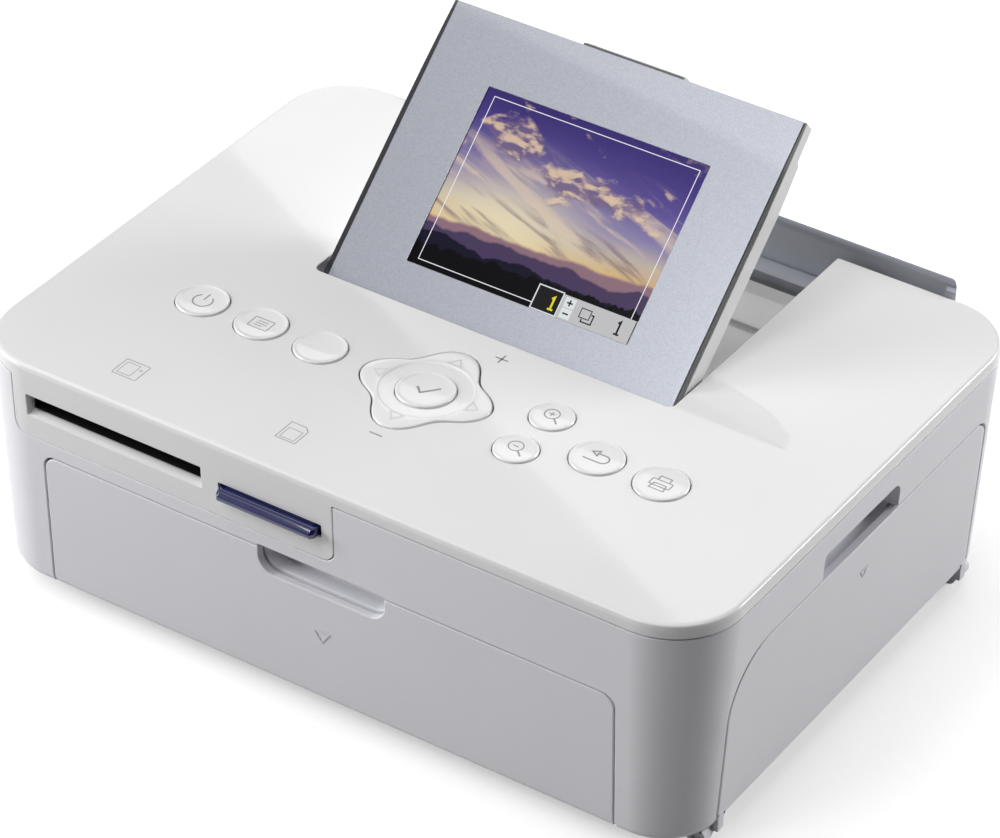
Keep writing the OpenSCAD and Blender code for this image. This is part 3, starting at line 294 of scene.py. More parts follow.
def circuit_board():
    """Green solder resist over faint copper tracks."""
    resist = srgb(44, 106, 70)
    made = material("board_green", resist, 0.35, Coat_Weight=0.3, Coat_Roughness=0.2)
    tracks = add_node(made, "ShaderNodeTexBrick")
    tracks.inputs["Scale"].default_value = 260
    tracks.inputs["Mortar Size"].default_value = 0.012
    tracks.inputs["Color1"].default_value = (*resist, 1)
    tracks.inputs["Color2"].default_value = (*srgb(48, 112, 74), 1)
    tracks.inputs["Mortar"].default_value = (*srgb(78, 140, 92), 1)
    place = add_node(made, "ShaderNodeTexCoord")
    shader = made.node_tree.nodes["Principled BSDF"]
    made.node_tree.links.new(place.outputs["Object"], tracks.inputs["Vector"])
    made.node_tree.links.new(tracks.outputs["Color"], shader.inputs["Base Color"])
    bump(made, tracks.outputs["Fac"], 0.03 * MM, 0.5)
    return made


BOARD = circuit_board()
SCREEN_GLOSS = {"Coat_Weight": 0.4, "Coat_Roughness": 0.02, "Specular_IOR_Level": 0.1}
GLOW = 0.85              # strength of the display's image
BRIGHT = 0.95            # strength of its palest marks


def shown_on_screen(name, colour, glow):
    """A plain part of the display's image: it glows behind the glass."""
    made = material(name, (0.004, 0.004, 0.004), 0.2, **SCREEN_GLOSS)
    vary = ramp(made, noise(made, 400), [(0.3, tuple(c * 0.98 for c in colour)), (0.7, colour)])
    shader = made.node_tree.nodes["Principled BSDF"]
    made.node_tree.links.new(vary, shader.inputs["Emission Color"])
    shader.inputs["Emission Strength"].default_value = glow
    return made


NODE_FINISH = {
    "lower_case": CASE_GREY, "top_cover": COVER_WHITE, "rear_cover": SLATE, "front_door": DOOR_GREY,
    "side_door": DOOR_GREY, "case_screws": SCREW_STEEL, "rubber_feet": RUBBER,
    "display_bezel": BEZEL_SILVER, "display_mid_frame": FRAME_DARK,
    "display_back_shell": SHELL_WHITE, "display_glass": BLACK, "display_pins": STEEL,
    "nav_pad": KEY_WHITE, "nav_ring": SHELL_WHITE, "ok_key": KEY_WHITE, "key_board": BOARD,
    "card_reader": BLACK, "memory_card": CARD_NAVY, "main_board": BOARD, "usb_port": STEEL,
    "power_inlet": BLACK, "chassis_left": STEEL, "chassis_right": STEEL, "chassis_pan": STEEL,
    "platen_roller": RUBBER, "platen_gear": IVORY, "feed_roller": STEEL, "feed_gear": IVORY,
    "pinch_roller": RUBBER, "bushes": IVORY, "head_shaft": STEEL, "head_arms": STEEL,
    "head_heatsink": ALUMINIUM, "head_strip": CERAMIC, "cassette_shell": SHELL_WHITE,
    "supply_spool": WOUND_FILM, "takeup_spool": WOUND_FILM, "ink_film": FILM,
    "takeup_gear": IVORY, "transfer_gear": IVORY, "idler_gear": IVORY, "motor_pinion": BRASS,
    "feed_motor": STEEL, "gear_studs": STEEL, "feed_idler": IVORY,
}
KEY_NODES = [name for name in nodes if name.endswith("_key") and name != "ok_key"]
for key_node in KEY_NODES:
    NODE_FINISH[key_node] = KEY_WHITE

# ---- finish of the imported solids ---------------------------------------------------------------


WELD = 0.012 * MM        # points of a solid closer than this are one
FLAT_ANGLE = 0.4         # degrees between faces that count as one flat face
HARD_ANGLE = 32          # degrees between faces that meet in a hard edge


def soften(piece, width, clamp):
    """Rounds a piece's hard edges a little, as on a moulding, and smooths the rest."""
    piece.data.shade_smooth()
    join = piece.modifiers.new("weld", "WELD")
    join.merge_threshold = WELD
    flat = piece.modifiers.new("flat", "DECIMATE")
    flat.decimate_type = "DISSOLVE"
    flat.angle_limit = math.radians(FLAT_ANGLE)
    edge = piece.modifiers.new("edge", "BEVEL")
    edge.width = width
    edge.segments = 2
    edge.limit_method = "ANGLE"
    edge.angle_limit = math.radians(HARD_ANGLE)
    edge.use_clamp_overlap = clamp
    edge.miter_outer = "MITER_ARC"
    edge.harden_normals = False
    shade = piece.modifiers.new("shade", "WEIGHTED_NORMAL")
    shade.keep_sharp = True


# Widths of the rounded edges in millimetres, where they aren't SMALL_EDGE
SMALL_EDGE = 0.12
EDGES = {
    "lower_case": 0.24, "top_cover": 0.2, "rear_cover": 0.3, "front_door": 0.26, "side_door": 0.26,
    "display_mid_frame": 0.14, "display_back_shell": 0.25, "rubber_feet": 0.5,
}
# Shells whose smallest faces would hold back the rounding of their long seams
UNCLAMPED = {"front_door", "side_door", "lower_case", "top_cover"}
# Thin sheets, which keep their plain edges
THIN = {"ink_film"}
for name, piece in nodes.items():
    piece.data.materials.clear()
    piece.data.materials.append(NODE_FINISH[name])
    if name not in THIN:
        soften(piece, EDGES.get(name, SMALL_EDGE) * MM, clamp=name not in UNCLAMPED)

# ---- custom pieces -----------------------------------------------------------------------------


class Form:
    """Points and faces of a piece, in millimetres."""

    def __init__(self):
        self.points = []
        self.faces = []

    def loft(self, rings, caps=True, closed=False):
        """Skins rings of equal length one after another; closed joins the last to the first."""
        start, size, count = len(self.points), len(rings[0]), len(rings)
        for ring in rings:
            self.points += [tuple(point) for point in ring]
        for k in range(count if closed else count - 1):
            a, b = start + k * size, start + (k + 1) % count * size
            for i in range(size):
                j = (i + 1) % size
                self.faces.append((a + i, a + j, b + j, b + i))
        if caps and not closed:
            self.faces.append(tuple(reversed(range(start, start + size))))
            self.faces.append(tuple(range(start + (count - 1) * size, start + count * size)))

    def turned(self, profile, x, y, segments=72):
        """A body of revolution round a line along Z: the profile is (radius, height)."""
        turns = [math.tau * i / segments for i in range(segments)]
        self.loft([[(x + r * math.cos(a), y + r * math.sin(a), z) for a in turns] for r, z in profile],
                  caps=False)

    def plate(self, outline, low, high, edge=0.0):
        """A flat plate with a small chamfer round its upper face."""
        rings = [[(x, y, low) for x, y in outline], [(x, y, high - edge) for x, y in outline]]
        if edge:
            rings.append([(x, y, high) for x, y in grow(outline, -edge)])
        self.loft(rings)

    def stroke(self, path, width, height, closed=False, depth=0.06):
        """A line of even width that lies on a surface: height is a number or a function of (x, y)."""
        level = height if callable(height) else lambda x, y: height
        points = subdivided(path, closed)
        rings = []
        for i, (x, y) in enumerate(points):
            before = points[i - 1] if closed or i else points[i]
            after = points[(i + 1) % len(points)] if closed or i + 1 < len(points) else points[i]
            nx, ny, reach = mitre(before, (x, y), after)
            a = (x + nx * width / 2 * reach, y + ny * width / 2 * reach)
            b = (x - nx * width / 2 * reach, y - ny * width / 2 * reach)
            rings.append([(*a, level(*a) - depth), (*b, level(*b) - depth),
                          (*b, level(*b)), (*a, level(*a))])
        self.loft(rings, closed=closed)


LONGEST_STEP = 0.55      # between two points of a stroke


def subdivided(path, closed):
    """The path with points no further apart than the longest step."""
    points = []
    ends = list(path) + ([path[0]] if closed else [])
    for (ax, ay), (bx, by) in zip(ends, ends[1:]):
        parts = max(1, math.ceil(math.hypot(bx - ax, by - ay) / LONGEST_STEP))
        points += [(ax + (bx - ax) * k / parts, ay + (by - ay) * k / parts) for k in range(parts)]
    return points if closed else points + [tuple(path[-1])]


def mitre(before, here, after):
    """Unit normal of a path at a point, and how far out its mitred corner reaches."""
    first = Vector((here[0] - before[0], here[1] - before[1]))
    second = Vector((after[0] - here[0], after[1] - here[1]))
    if first.length < 1e-9:
        first = second
    if second.length < 1e-9:
        second = first
    first.normalize()
    second.normalize()
    along = (first + second).normalized()
    return -along.y, along.x, 1 / max(0.4, along.dot(first))


def grow(outline, out):
    """A counter-clockwise outline moved outward."""
    moved = []
    for i, here in enumerate(outline):
        nx, ny, reach = mitre(outline[i - 1], here, outline[(i + 1) % len(outline)])
        moved.append((here[0] - nx * out * reach, here[1] - ny * out * reach))
    return moved


def arc(x, y, r, start, end, parts=24):
    """Points on an arc, angles in degrees."""
    turns = [math.radians(start + (end - start) * k / parts) for k in range(parts + 1)]
    return [(x + r * math.cos(a), y + r * math.sin(a)) for a in turns]


def rectangle(x0, y0, x1, y1, r=0.0):
    """A counter-clockwise rectangle with rounded corners."""
    if not r:
        return [(x0, y0), (x1, y0), (x1, y1), (x0, y1)]
    corners = [(x1 - r, y0 + r, -90), (x1 - r, y1 - r, 0), (x0 + r, y1 - r, 90), (x0 + r, y0 + r, 180)]
    return [point for x, y, a in corners for point in arc(x, y, r, a, a + 90, 5)]


JOIN = 0.001 * MM        # points of a form closer than this are one
SHARP_ANGLE = 30         # degrees between faces that meet in a sharp edge


def build(name, form, finish, body, place=None, stands_for=()):
    """Makes a piece from a form and sets it on its body."""
    mesh = bpy.data.meshes.new(name)
    mesh.from_pydata([Vector(point) * MM for point in form.points], [], form.faces)
    bm = bmesh.new()
    bm.from_mesh(mesh)
    bmesh.ops.remove_doubles(bm, verts=bm.verts, dist=JOIN)
    bmesh.ops.recalc_face_normals(bm, faces=bm.faces)
    bm.to_mesh(mesh)
    bm.free()
    mesh.shade_smooth()
    mesh.set_sharp_from_angle(angle=math.radians(SHARP_ANGLE))
    mesh.materials.append(finish)
    made = bpy.data.objects.new(name, mesh)
    bpy.context.scene.collection.objects.link(made)
    if place:
        made.matrix_world = place
    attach(made, body)
    if stands_for:
        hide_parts(*stands_for)
    return made


# Keys: a turned cap with a rounded rim and a shallow dish, on its flange and stem

STEM_R = 1.6
FLANGE_OUT = 0.9         # from the cap's side to the edge of its flange
FLANGE_TOP = 2.6         # the flange's faces, below the top of the cap
FLANGE_UNDER = 3.7
RIM = 0.5
DISH = 0.16
DISH_IN = 0.06           # from the rim to the edge of the dish
SIGN_LIFT = 0.025        # how far a sign lies over the face


def dish(r, top, reach):
    """Height of a key's dished face at a distance from its middle."""
    return top - 0.05 - DISH * (1 - min(1.0, r / reach) ** 2)


def cap_profile(r, top):
    """The rounded rim and the dish of a cap, from its side wall to its middle."""
    rim = [(r, top - 0.3), (r - 0.05, top - 0.14), (r - 0.16, top - 0.03), (r - 0.3, top),
           (r - RIM + 0.04, top)]
    reach = r - RIM - DISH_IN
    face = [(reach * k / 8, dish(reach * k / 8, top, reach)) for k in range(8, -1, -1)]
    return rim + face


def sign_height(middle, r, top):
    """Height of a sign on the dished cap of radius r, as a function of (x, y)."""
    reach = r - RIM - DISH_IN
    return lambda x, y: dish(math.hypot(x - middle.x, y - middle.y), top, reach) + SIGN_LIFT


def make_key(node):
    """A round key in place of the node; gives its middle and the height of a sign on it."""
    low, high = box_mm(node)
    middle = (low + high) / 2
    flange = (high.x - low.x) / 2
    r = flange - FLANGE_OUT
    under, over = high.z - FLANGE_UNDER, high.z - FLANGE_TOP
    form = Form()
    form.turned([(0, low.z), (STEM_R, low.z), (STEM_R, under), (flange, under), (flange, over),
                 (r, over), *cap_profile(r, high.z)], middle.x, middle.y)
    build(f"{node}_cap", form, KEY_WHITE, node, stands_for=[node])
    return middle, sign_height(middle, r, high.z)


# Signs round the middle of their keys, each a list of (path, closed, width)
MAGNIFIER = [(arc(-0.5, 0.85, 1.6, 0, 345), True, 0.24),
             ([(0.6, -0.3), (2.1, -1.75)], False, 0.34),
             ([(-1.15, 0.85), (0.15, 0.85)], False, 0.22)]
SIGNS = {
    "power_key": [(arc(0, 0, 2.15, 128, 412), False, 0.3), ([(0, 0.35), (0, 2.75)], False, 0.3)],
    "menu_key": [(rectangle(-2.35, -1.75, 2.35, 1.75, 0.2), True, 0.22),
                 ([(-1.3, 0.8), (1.35, 0.8)], False, 0.22), ([(-1.3, 0.0), (1.35, 0.0)], False, 0.22),
                 ([(-1.3, -0.8), (0.6, -0.8)], False, 0.22)],
    "zoom_in_key": [*MAGNIFIER, ([(-0.5, 0.2), (-0.5, 1.5)], False, 0.22)],
    "zoom_out_key": MAGNIFIER,
    "back_key": [([(-2.65, -1.2), (1.2, -1.2), *arc(1.2, 0.15, 1.35, -90, 90), (-0.6, 1.5)],
                  False, 0.34),
                 ([(-0.5, 2.35), (-1.95, 1.5), (-0.5, 0.65)], True, 0.34)],
    "print_key": [(rectangle(-2.3, -1.1, 2.3, 0.9, 0.3), True, 0.24),
                  ([(-1.3, 0.95), (-1.3, 2.2), (1.3, 2.2), (1.3, 0.95)], False, 0.24),
                  ([(-1.35, -0.3), (-1.7, -2.2), (1.7, -2.2), (1.35, -0.3)], True, 0.24)],
}
for key_node in KEY_NODES:
    middle, face = make_key(key_node)
    if key_node in SIGNS:
        sign = Form()
        for path, closed, width in SIGNS[key_node]:
            sign.stroke([(middle.x + x, middle.y + y) for x, y in path], width, face, closed)
        build(f"{key_node}_sign", sign, PRINT_GREY, key_node)

# Navigation pad: the lobed outline with a rounded edge, stepping down round the confirm key


ok_low, ok_high = box_mm("ok_key")
OK_FLANGE = (ok_high.x - ok_low.x) / 2
OK_R = OK_FLANGE - 1
BORE = OK_R + 0.2
NAV_TURNS = [math.tau * i / 144 for i in range(144)]
NAV_FLANGE = (nav_high.x - nav_low.x) / 2
NAV_REACH = NAV_FLANGE - 1
NAV_DIP = 0.135          # half the dip between two lobes, as a share of the reach
NAV_EDGE = -0.42         # from the outline to the flat face
NAV_STEP = 10.1          # radius where the face steps down round the confirm key
NAV_MARK_LIFT = 0.02


def nav_outline(out):
    """The pad's outline, moved outward, as radii round the pad."""
    return [NAV_REACH * (1 - NAV_DIP + NAV_DIP * math.cos(4 * a)) + out for a in NAV_TURNS]


def nav_ring_at(radii, z):
    """A ring of points round the pad; radii is one number or one for each point."""
    if not isinstance(radii, list):
        radii = [radii] * len(NAV_TURNS)
    return [(NAV.x + r * math.cos(a), NAV.y + r * math.sin(a), z) for r, a in zip(radii, NAV_TURNS)]


def nav_pad():
    """The pad in place of its node, with four plungers under its lobes."""
    top = nav_high.z
    under, over = top - 4.1, top - 3.0
    skin = [nav_ring_at(BORE, under), nav_ring_at(NAV_FLANGE, under), nav_ring_at(NAV_FLANGE, over),
            nav_ring_at(nav_outline(0), over), nav_ring_at(nav_outline(0), top - 0.4),
            nav_ring_at(nav_outline(-0.06), top - 0.2), nav_ring_at(nav_outline(-0.2), top - 0.06),
            nav_ring_at(nav_outline(NAV_EDGE), top)]
    for part in (0.25, 0.5, 0.75):
        edge = [r * (1 - part) + NAV_STEP * part for r in nav_outline(NAV_EDGE)]
        skin.append(nav_ring_at(edge, top))
    skin += [nav_ring_at(r, top - down) for r, down in (
        (NAV_STEP, 0), (NAV_STEP - 0.15, 0.04), (NAV_STEP - 0.35, 0.16), (NAV_STEP - 0.5, 0.2),
        (NAV_STEP - 1.7, 0.24), (BORE + 0.35, 0.26), (BORE + 0.1, 0.32), (BORE, 0.5))]
    form = Form()
    form.loft(skin, closed=True)
    for turn in range(4):
        a = turn * math.pi / 2
        form.turned([(0, nav_low.z), (1.2, nav_low.z), (1.2, under + 0.4), (0, under + 0.4)],
                    NAV.x + (NAV_FLANGE - 3) * math.cos(a), NAV.y + (NAV_FLANGE - 3) * math.sin(a), 32)
    build("nav_pad_cap", form, KEY_WHITE, "nav_pad", stands_for=["nav_pad"])


def nav_pad_marks():
    """A raised triangle on each of the pad's lobes, pointing outward, tinted grey as painted shade of
    the embossing.
    """
    form = Form()
    for turn, reach in ((0, 11.4), (90, 11.4), (180, 11.4), (270, 11.2)):
        a = math.radians(turn)
        points = [(reach + 1.25, 0), (reach - 0.95, 1.6), (reach - 0.95, -1.6)]
        path = [(NAV.x + x * math.cos(a) - y * math.sin(a), NAV.y + x * math.sin(a) + y * math.cos(a))
                for x, y in points]
        form.stroke(path, 0.42, nav_high.z, True)
    build("nav_pad_marks", form, NAV_MARK_SHADE, "nav_pad",
          place=Matrix.Translation((0, 0, NAV_MARK_LIFT * MM)))


nav_pad()
nav_pad_marks()

ok_form = Form()
ok_form.turned([(0, ok_low.z), (OK_FLANGE, ok_low.z), (OK_FLANGE, ok_low.z + 0.3),
                (OK_R, ok_low.z + 0.3), *cap_profile(OK_R, ok_high.z)], NAV.x, NAV.y)
build("ok_key_cap", ok_form, KEY_WHITE, "ok_key", stands_for=["ok_key"])
tick = Form()
tick.stroke([(NAV.x - 2.1, NAV.y + 0.1), (NAV.x - 0.5, NAV.y - 1.5), (NAV.x + 2.4, NAV.y + 1.9)],
            0.5, sign_height(NAV, OK_R, ok_high.z))
build("ok_key_sign", tick, PRINT_GREY, "ok_key")

# Printed signs on the cover: plus and minus by the pad, and the outlines of the two cards

COVER_SIGN_LIFT = 0.012
cover_signs = Form()
for path, closed, width in [
    ([(NAV.x + 5.1, NAV.y + 17.95), (NAV.x + 8.1, NAV.y + 17.95)], False, 0.4),
    ([(NAV.x + 6.6, NAV.y + 16.45), (NAV.x + 6.6, NAV.y + 19.45)], False, 0.4),
    ([(NAV.x - 1.2, NAV.y - 18.35), (NAV.x + 1.9, NAV.y - 18.35)], False, 0.4),
    (rectangle(-56.9, -58.0, -51.0, -52.5, 0.35), True, 0.2),
    (rectangle(-56.1, -57.3, -52.9, -53.3, 0.1), True, 0.16),
    ([(-52.3, -54.7), (-51.7, -54.7), (-52.0, -54.1)], True, 0.14),
    ([(-16.5, -57.2), (-11.7, -57.2), (-11.7, -52.5), (-12.9, -51.3), (-16.5, -51.3)], True, 0.2),
    (rectangle(-15.8, -56.6, -12.4, -53.2, 0.1), True, 0.16),
]:
    cover_signs.stroke(path, width, TOP + COVER_SIGN_LIFT, closed)
build("cover_signs", cover_signs, PRINT_GREY, "case")

# Raised marks by the finger notches of the two doors

door_mark = Form()
door_mark.stroke([(-1.9, 1.35), (0.0, -1.35), (1.9, 1.35)], 0.36, 0.16, True)
build("front_door_mark", door_mark, DOOR_GREY, "front_door",
      place=plane_on("front_door", (0.1, -200, 21.8), (0, 1, 0), (1, 0, 0)))
side_mark = Form()
side_mark.stroke([(-1.3, 0.9), (0.0, -0.9), (1.3, 0.9)], 0.3, 0.14, True)
build("side_door_mark", side_mark, DOOR_GREY, "side_door",
      place=plane_on("side_door", (200, 0.2, 35.5), (-1, 0, 0), (0, 1, 0)))

# Black sleeves in the card slots, which darken their insides as painted shade, and the ribs and grip on
# the memory card's outer end

card_low, card_high = box_mm("memory_card")
CARD_EDGE = 0.13
SLEEVE_WALL = 0.12
SLEEVE_END = box_mm("card_reader")[0].y + 0.6
WIDE_SLOT_X = (-71.7, -28.5)
WIDE_SLOT_Z = (49.6, 53.2)
WIDE_SLOT_Y = -65.1      # where each slot's sleeve begins
NARROW_SLOT_Y = -65.6


def sleeve(name, x0, x1, z0, z1, start):
    """A thin black four-sided sleeve that lines a slot and darkens its inside as painted shade."""
    form = Form()
    ends = []
    for y in (start, SLEEVE_END):
        for inset in (0, SLEEVE_WALL):
            ends.append([(x0 + inset, y, z0 + inset), (x1 - inset, y, z0 + inset),
                         (x1 - inset, y, z1 - inset), (x0 + inset, y, z1 - inset)])
    form.loft([ends[0], ends[2], ends[3], ends[1]], closed=True)
    build(name, form, BLACK, "case")


sleeve("wide_slot_shade_sleeve", *WIDE_SLOT_X, *WIDE_SLOT_Z, WIDE_SLOT_Y)
sleeve("narrow_slot_shade_sleeve", card_low.x - 0.6, card_high.x + 0.6, card_low.z - 0.3, card_high.z + 0.3,
       NARROW_SLOT_Y)


def make_card():
    """The memory card: a thin plate with cut corners, a sloped outer edge and grip ribs."""
    y0, y1, z0, z1 = card_low.y, card_high.y, card_low.z, card_high.z
    rings = []
    for x, back in ((card_low.x, 0.75), (card_low.x + 0.75, 0.0), (card_high.x - 0.75, 0.0),
                    (card_high.x, 0.75)):
        front = y0 + back
        rings.append([(x, y, z) for y, z in (
            (front + 0.35, z0), (y1, z0), (y1, z1), (front + 1.75, z1), (front + 1.6, z1 - 0.1),
            (front + 0.95, z1 - 0.12), (front + 0.8, z1 - 0.22), (front + 0.1, z1 - 0.85),
            (front, z1 - 1.0), (front, z0 + 0.4))])
    form = Form()
    form.loft(rings)
    made = build("memory_card_shell", form, CARD_NAVY, "memory_card", stands_for=["memory_card"])
    edge = made.modifiers.new("edge", "BEVEL")
    edge.width = CARD_EDGE * MM
    edge.segments = 2
    edge.angle_limit = math.radians(15)
    ribs = Form()
    for y in (2.1, 2.75):
        ribs.plate(rectangle(card_low.x + 1.2, y0 + y, card_high.x - 1.2, y0 + y + 0.3),
                   z1 - 0.1, z1 + 0.1, 0.07)
    build("memory_card_ribs", ribs, CARD_NAVY, "memory_card")


make_card()

# ---- the display's picture ---------------------------------------------------------------------

glass_low, glass_high = panel_box("display_glass")
LEDGE = 1.15             # width of the ledge round the screen
LEDGE_DOWN = 0.15        # how far the ledge lies below the screen's face
SCREEN_EDGE = 0.03       # chamfer round that face
SCREEN_X0, SCREEN_X1 = glass_low.x + LEDGE, glass_high.x - LEDGE
SCREEN_Y0, SCREEN_Y1 = glass_low.y + LEDGE, glass_high.y - LEDGE
GLASS = glass_high.z


class Picture:
    """Short names for the maths of a picture made in a shader."""

    def __init__(self, made):
        self.made = made
        self.links = made.node_tree.links

    def put(self, socket, value):
        if isinstance(value, bpy.types.NodeSocket):
            self.links.new(value, socket)
        else:
            socket.default_value = value

    def maths(self, operation, *values):
        node = add_node(self.made, "ShaderNodeMath", operation=operation)
        for socket, value in zip(node.inputs, values):
            self.put(socket, value)
        return node.outputs[0]

    def step(self, value, low, high):
        """0 below low, 1 above high, smooth between."""
        node = add_node(self.made, "ShaderNodeMapRange", interpolation_type="SMOOTHSTEP")
        self.put(node.inputs["Value"], value)
        node.inputs["From Min"].default_value = low
        node.inputs["From Max"].default_value = high
        return node.outputs["Result"]

    def band(self, value, v, rising, falling):
        """The value, faded out below the rising heights and above the falling ones."""
        ends = self.maths("MULTIPLY", self.step(v, *rising), self.step(v, *reversed(falling)))
        return self.maths("MULTIPLY", value, ends)

    def texture(self, u, v, across, up, detail, seed, distortion=0.0):
        """Noise over the picture, with its scale across and up."""
        place = add_node(self.made, "ShaderNodeCombineXYZ")
        self.put(place.inputs[0], self.maths("MULTIPLY", u, across))
        self.put(place.inputs[1], self.maths("MULTIPLY", v, up))
        place.inputs[2].default_value = seed
        node = add_node(self.made, "ShaderNodeTexNoise")
        node.inputs["Scale"].default_value = 1.0
        node.inputs["Detail"].default_value = detail
        node.inputs["Distortion"].default_value = distortion
        self.links.new(place.outputs[0], node.inputs["Vector"])
        return node.outputs["Fac"]

    def blend(self, factor, below, above):
        """Colours below and above, mixed by a factor."""
        node = add_node(self.made, "ShaderNodeMix", data_type="RGBA")
        self.put(node.inputs[0], factor)
        for index, colour in ((6, below), (7, above)):
            self.put(node.inputs[index], (*colour, 1) if isinstance(colour, tuple) else colour)
        return node.outputs[2]

    def spot(self, u, v, x, y, wide, high):
        """A soft round spot: 1 in its middle."""
        dx = self.maths("MULTIPLY_ADD", u, 1 / wide, -x / wide)
        dy = self.maths("MULTIPLY_ADD", v, 1 / high, -y / high)
        square = self.maths("MULTIPLY_ADD", dx, dx, self.maths("MULTIPLY", dy, dy))
        return self.maths("EXPONENT", self.maths("MULTIPLY", square, -1.0))


def evening_picture():
    """A generic evening: violet sky, low sun on the left, drifting clouds and layered ridges."""
    made = material("screen_picture", (0.004, 0.004, 0.005), 0.15, **SCREEN_GLOSS)
    art = Picture(made)
    place = add_node(made, "ShaderNodeTexCoord")
    split = add_node(made, "ShaderNodeSeparateXYZ")
    made.node_tree.links.new(place.outputs["Object"], split.inputs[0])
    wide, high = (SCREEN_X1 - SCREEN_X0) * MM, (SCREEN_Y1 - SCREEN_Y0) * MM
    u = art.maths("MULTIPLY_ADD", split.outputs[0], 1 / wide, -SCREEN_X0 * MM / wide)
    v = art.maths("MULTIPLY_ADD", split.outputs[1], 1 / high, -SCREEN_Y0 * MM / high)

    veil = art.texture(u, v, 1.6, 3.2, 3, 4.0)
    lifted = art.maths("MULTIPLY_ADD", veil, 0.16, art.maths("SUBTRACT", v, 0.08))
    sky = ramp(made, lifted, [
        (0.20, srgb(226, 158, 96)), (0.29, srgb(226, 190, 130)), (0.40, srgb(196, 184, 176)),
        (0.52, srgb(142, 132, 180)), (0.68, srgb(100, 86, 160)), (0.84, srgb(76, 62, 138)),
        (1.0, srgb(58, 46, 118))])
    glow = art.spot(u, v, 0.30, 0.36, 0.34, 0.24)
    sky = art.blend(art.maths("MULTIPLY", glow, 0.8), sky, srgb(250, 238, 200))

    slant = art.maths("MULTIPLY_ADD", u, 0.42, v)
    streak = art.step(art.texture(u, slant, 2.4, 13.0, 6, 1.7, 0.6), 0.47, 0.68)
    band = art.band(streak, v, (0.30, 0.42), (0.62, 0.86))
    sky = art.blend(art.maths("MULTIPLY", band, 0.6), sky, srgb(236, 214, 188))
    dusk = art.step(art.texture(u, slant, 3.0, 17.0, 5, 8.3, 0.4), 0.5, 0.66)
    low_band = art.band(dusk, v, (0.26, 0.32), (0.40, 0.52))
    sky = art.blend(art.maths("MULTIPLY", low_band, 0.62), sky, srgb(122, 96, 116))

    billow = art.texture(u, v, 7.5, 9.5, 7, 3.1, 0.25)
    bank = art.maths("ADD", art.spot(u, v, 0.20, 0.80, 0.16, 0.10),
                     art.spot(u, v, 0.62, 0.66, 0.24, 0.085))
    mass = art.maths("MULTIPLY_ADD", bank, 0.36, art.maths("SUBTRACT", billow, 0.5))
    cloud = art.step(mass, 0.10, 0.26)
    under = art.texture(u, art.maths("ADD", v, 0.03), 7.5, 9.5, 7, 3.1, 0.25)
    lit = art.step(art.maths("SUBTRACT", billow, under), -0.04, 0.09)
    puff = art.blend(lit, srgb(122, 102, 140), srgb(244, 214, 178))
    sky = art.blend(art.maths("MULTIPLY", cloud, 0.8), sky, puff)

    def ridge(base, rise, across, seed, detail, colour, picture, tilt=0.0, haze=0.005):
        """A layer of hills whose crest is a line of noise, blurred by the haze."""
        crest = art.texture(u, 0.0, across, 0.0, detail, seed)
        level = art.maths("MULTIPLY_ADD", u, tilt, base - rise * 0.5)
        edge = art.maths("MULTIPLY_ADD", crest, rise, level)
        under_edge = art.step(art.maths("SUBTRACT", edge, v), -haze, haze)
        return art.blend(under_edge, picture, colour)

    view = ridge(0.27, 0.14, 3.2, 2.0, 4, srgb(150, 118, 130), sky, 0.04, 0.012)
    view = ridge(0.235, 0.18, 4.4, 6.0, 5, srgb(78, 64, 98), view, 0.02, 0.008)
    view = ridge(0.185, 0.16, 5.5, 9.0, 6, srgb(26, 24, 42), view, -0.03)
    view = ridge(0.12, 0.15, 16.0, 5.0, 9, srgb(8, 8, 12), view, 0.05)
    shader = made.node_tree.nodes["Principled BSDF"]
    made.node_tree.links.new(view, shader.inputs["Emission Color"])
    shader.inputs["Emission Strength"].default_value = GLOW
    return made


glass = Form()
inner = rectangle(SCREEN_X0, SCREEN_Y0, SCREEN_X1, SCREEN_Y1)
outer = rectangle(glass_low.x, glass_low.y, glass_high.x, glass_high.y)
ledge_z = GLASS - LEDGE_DOWN
glass.loft([[(x, y, z) for x, y in ring] for ring, z in
            ((outer, glass_low.z), (outer, ledge_z), (inner, ledge_z), (inner, GLASS - SCREEN_EDGE),
             (grow(inner, -SCREEN_EDGE), GLASS))])
build("display_screen", glass, evening_picture(), "display", place=PANEL, stands_for=["display_glass"])


def on_screen(name, colour, draw, lift, glow=GLOW):
    """A layer of the screen's image; draw adds its shapes in millimetres from the lower left corner."""
    form = Form()
    draw(form, GLASS + lift)
    shift = PANEL @ Matrix.Translation((SCREEN_X0 * MM, SCREEN_Y0 * MM, 0))
    build(name, form, shown_on_screen(name, colour, glow), "display", place=shift)


WIDE, HIGH = SCREEN_X1 - SCREEN_X0, SCREEN_Y1 - SCREEN_Y0
STRIP_X = WIDE - 24.2    # left end of the strip of figures
LAYER = 0.02             # thickness of a layer of the image


def frame_line(form, z):
    left, right, low, high = 2.0, WIDE - 1.8, 1.3, HIGH - 1.5
    form.stroke([(STRIP_X, low), (left, low), (left, high), (right, high), (right, 5.2)], 0.18, z,
                depth=LAYER)


def numeral(form, x, y, tall, z):
    """A plain upright figure with a small flag and foot."""
    form.stroke([(x - 0.5, y + tall - 0.45), (x, y + tall), (x, y)], 0.45, z, depth=LAYER)
    form.stroke([(x - 0.65, y), (x + 0.65, y)], 0.4, z, depth=LAYER)


def yellow_numeral(form, z):
    numeral(form, STRIP_X + 4.6, 1.15, 2.7, z)


def strip(form, z):
    form.plate(rectangle(STRIP_X, 0.02, WIDE - 0.02, 5.3), z - LAYER, z)


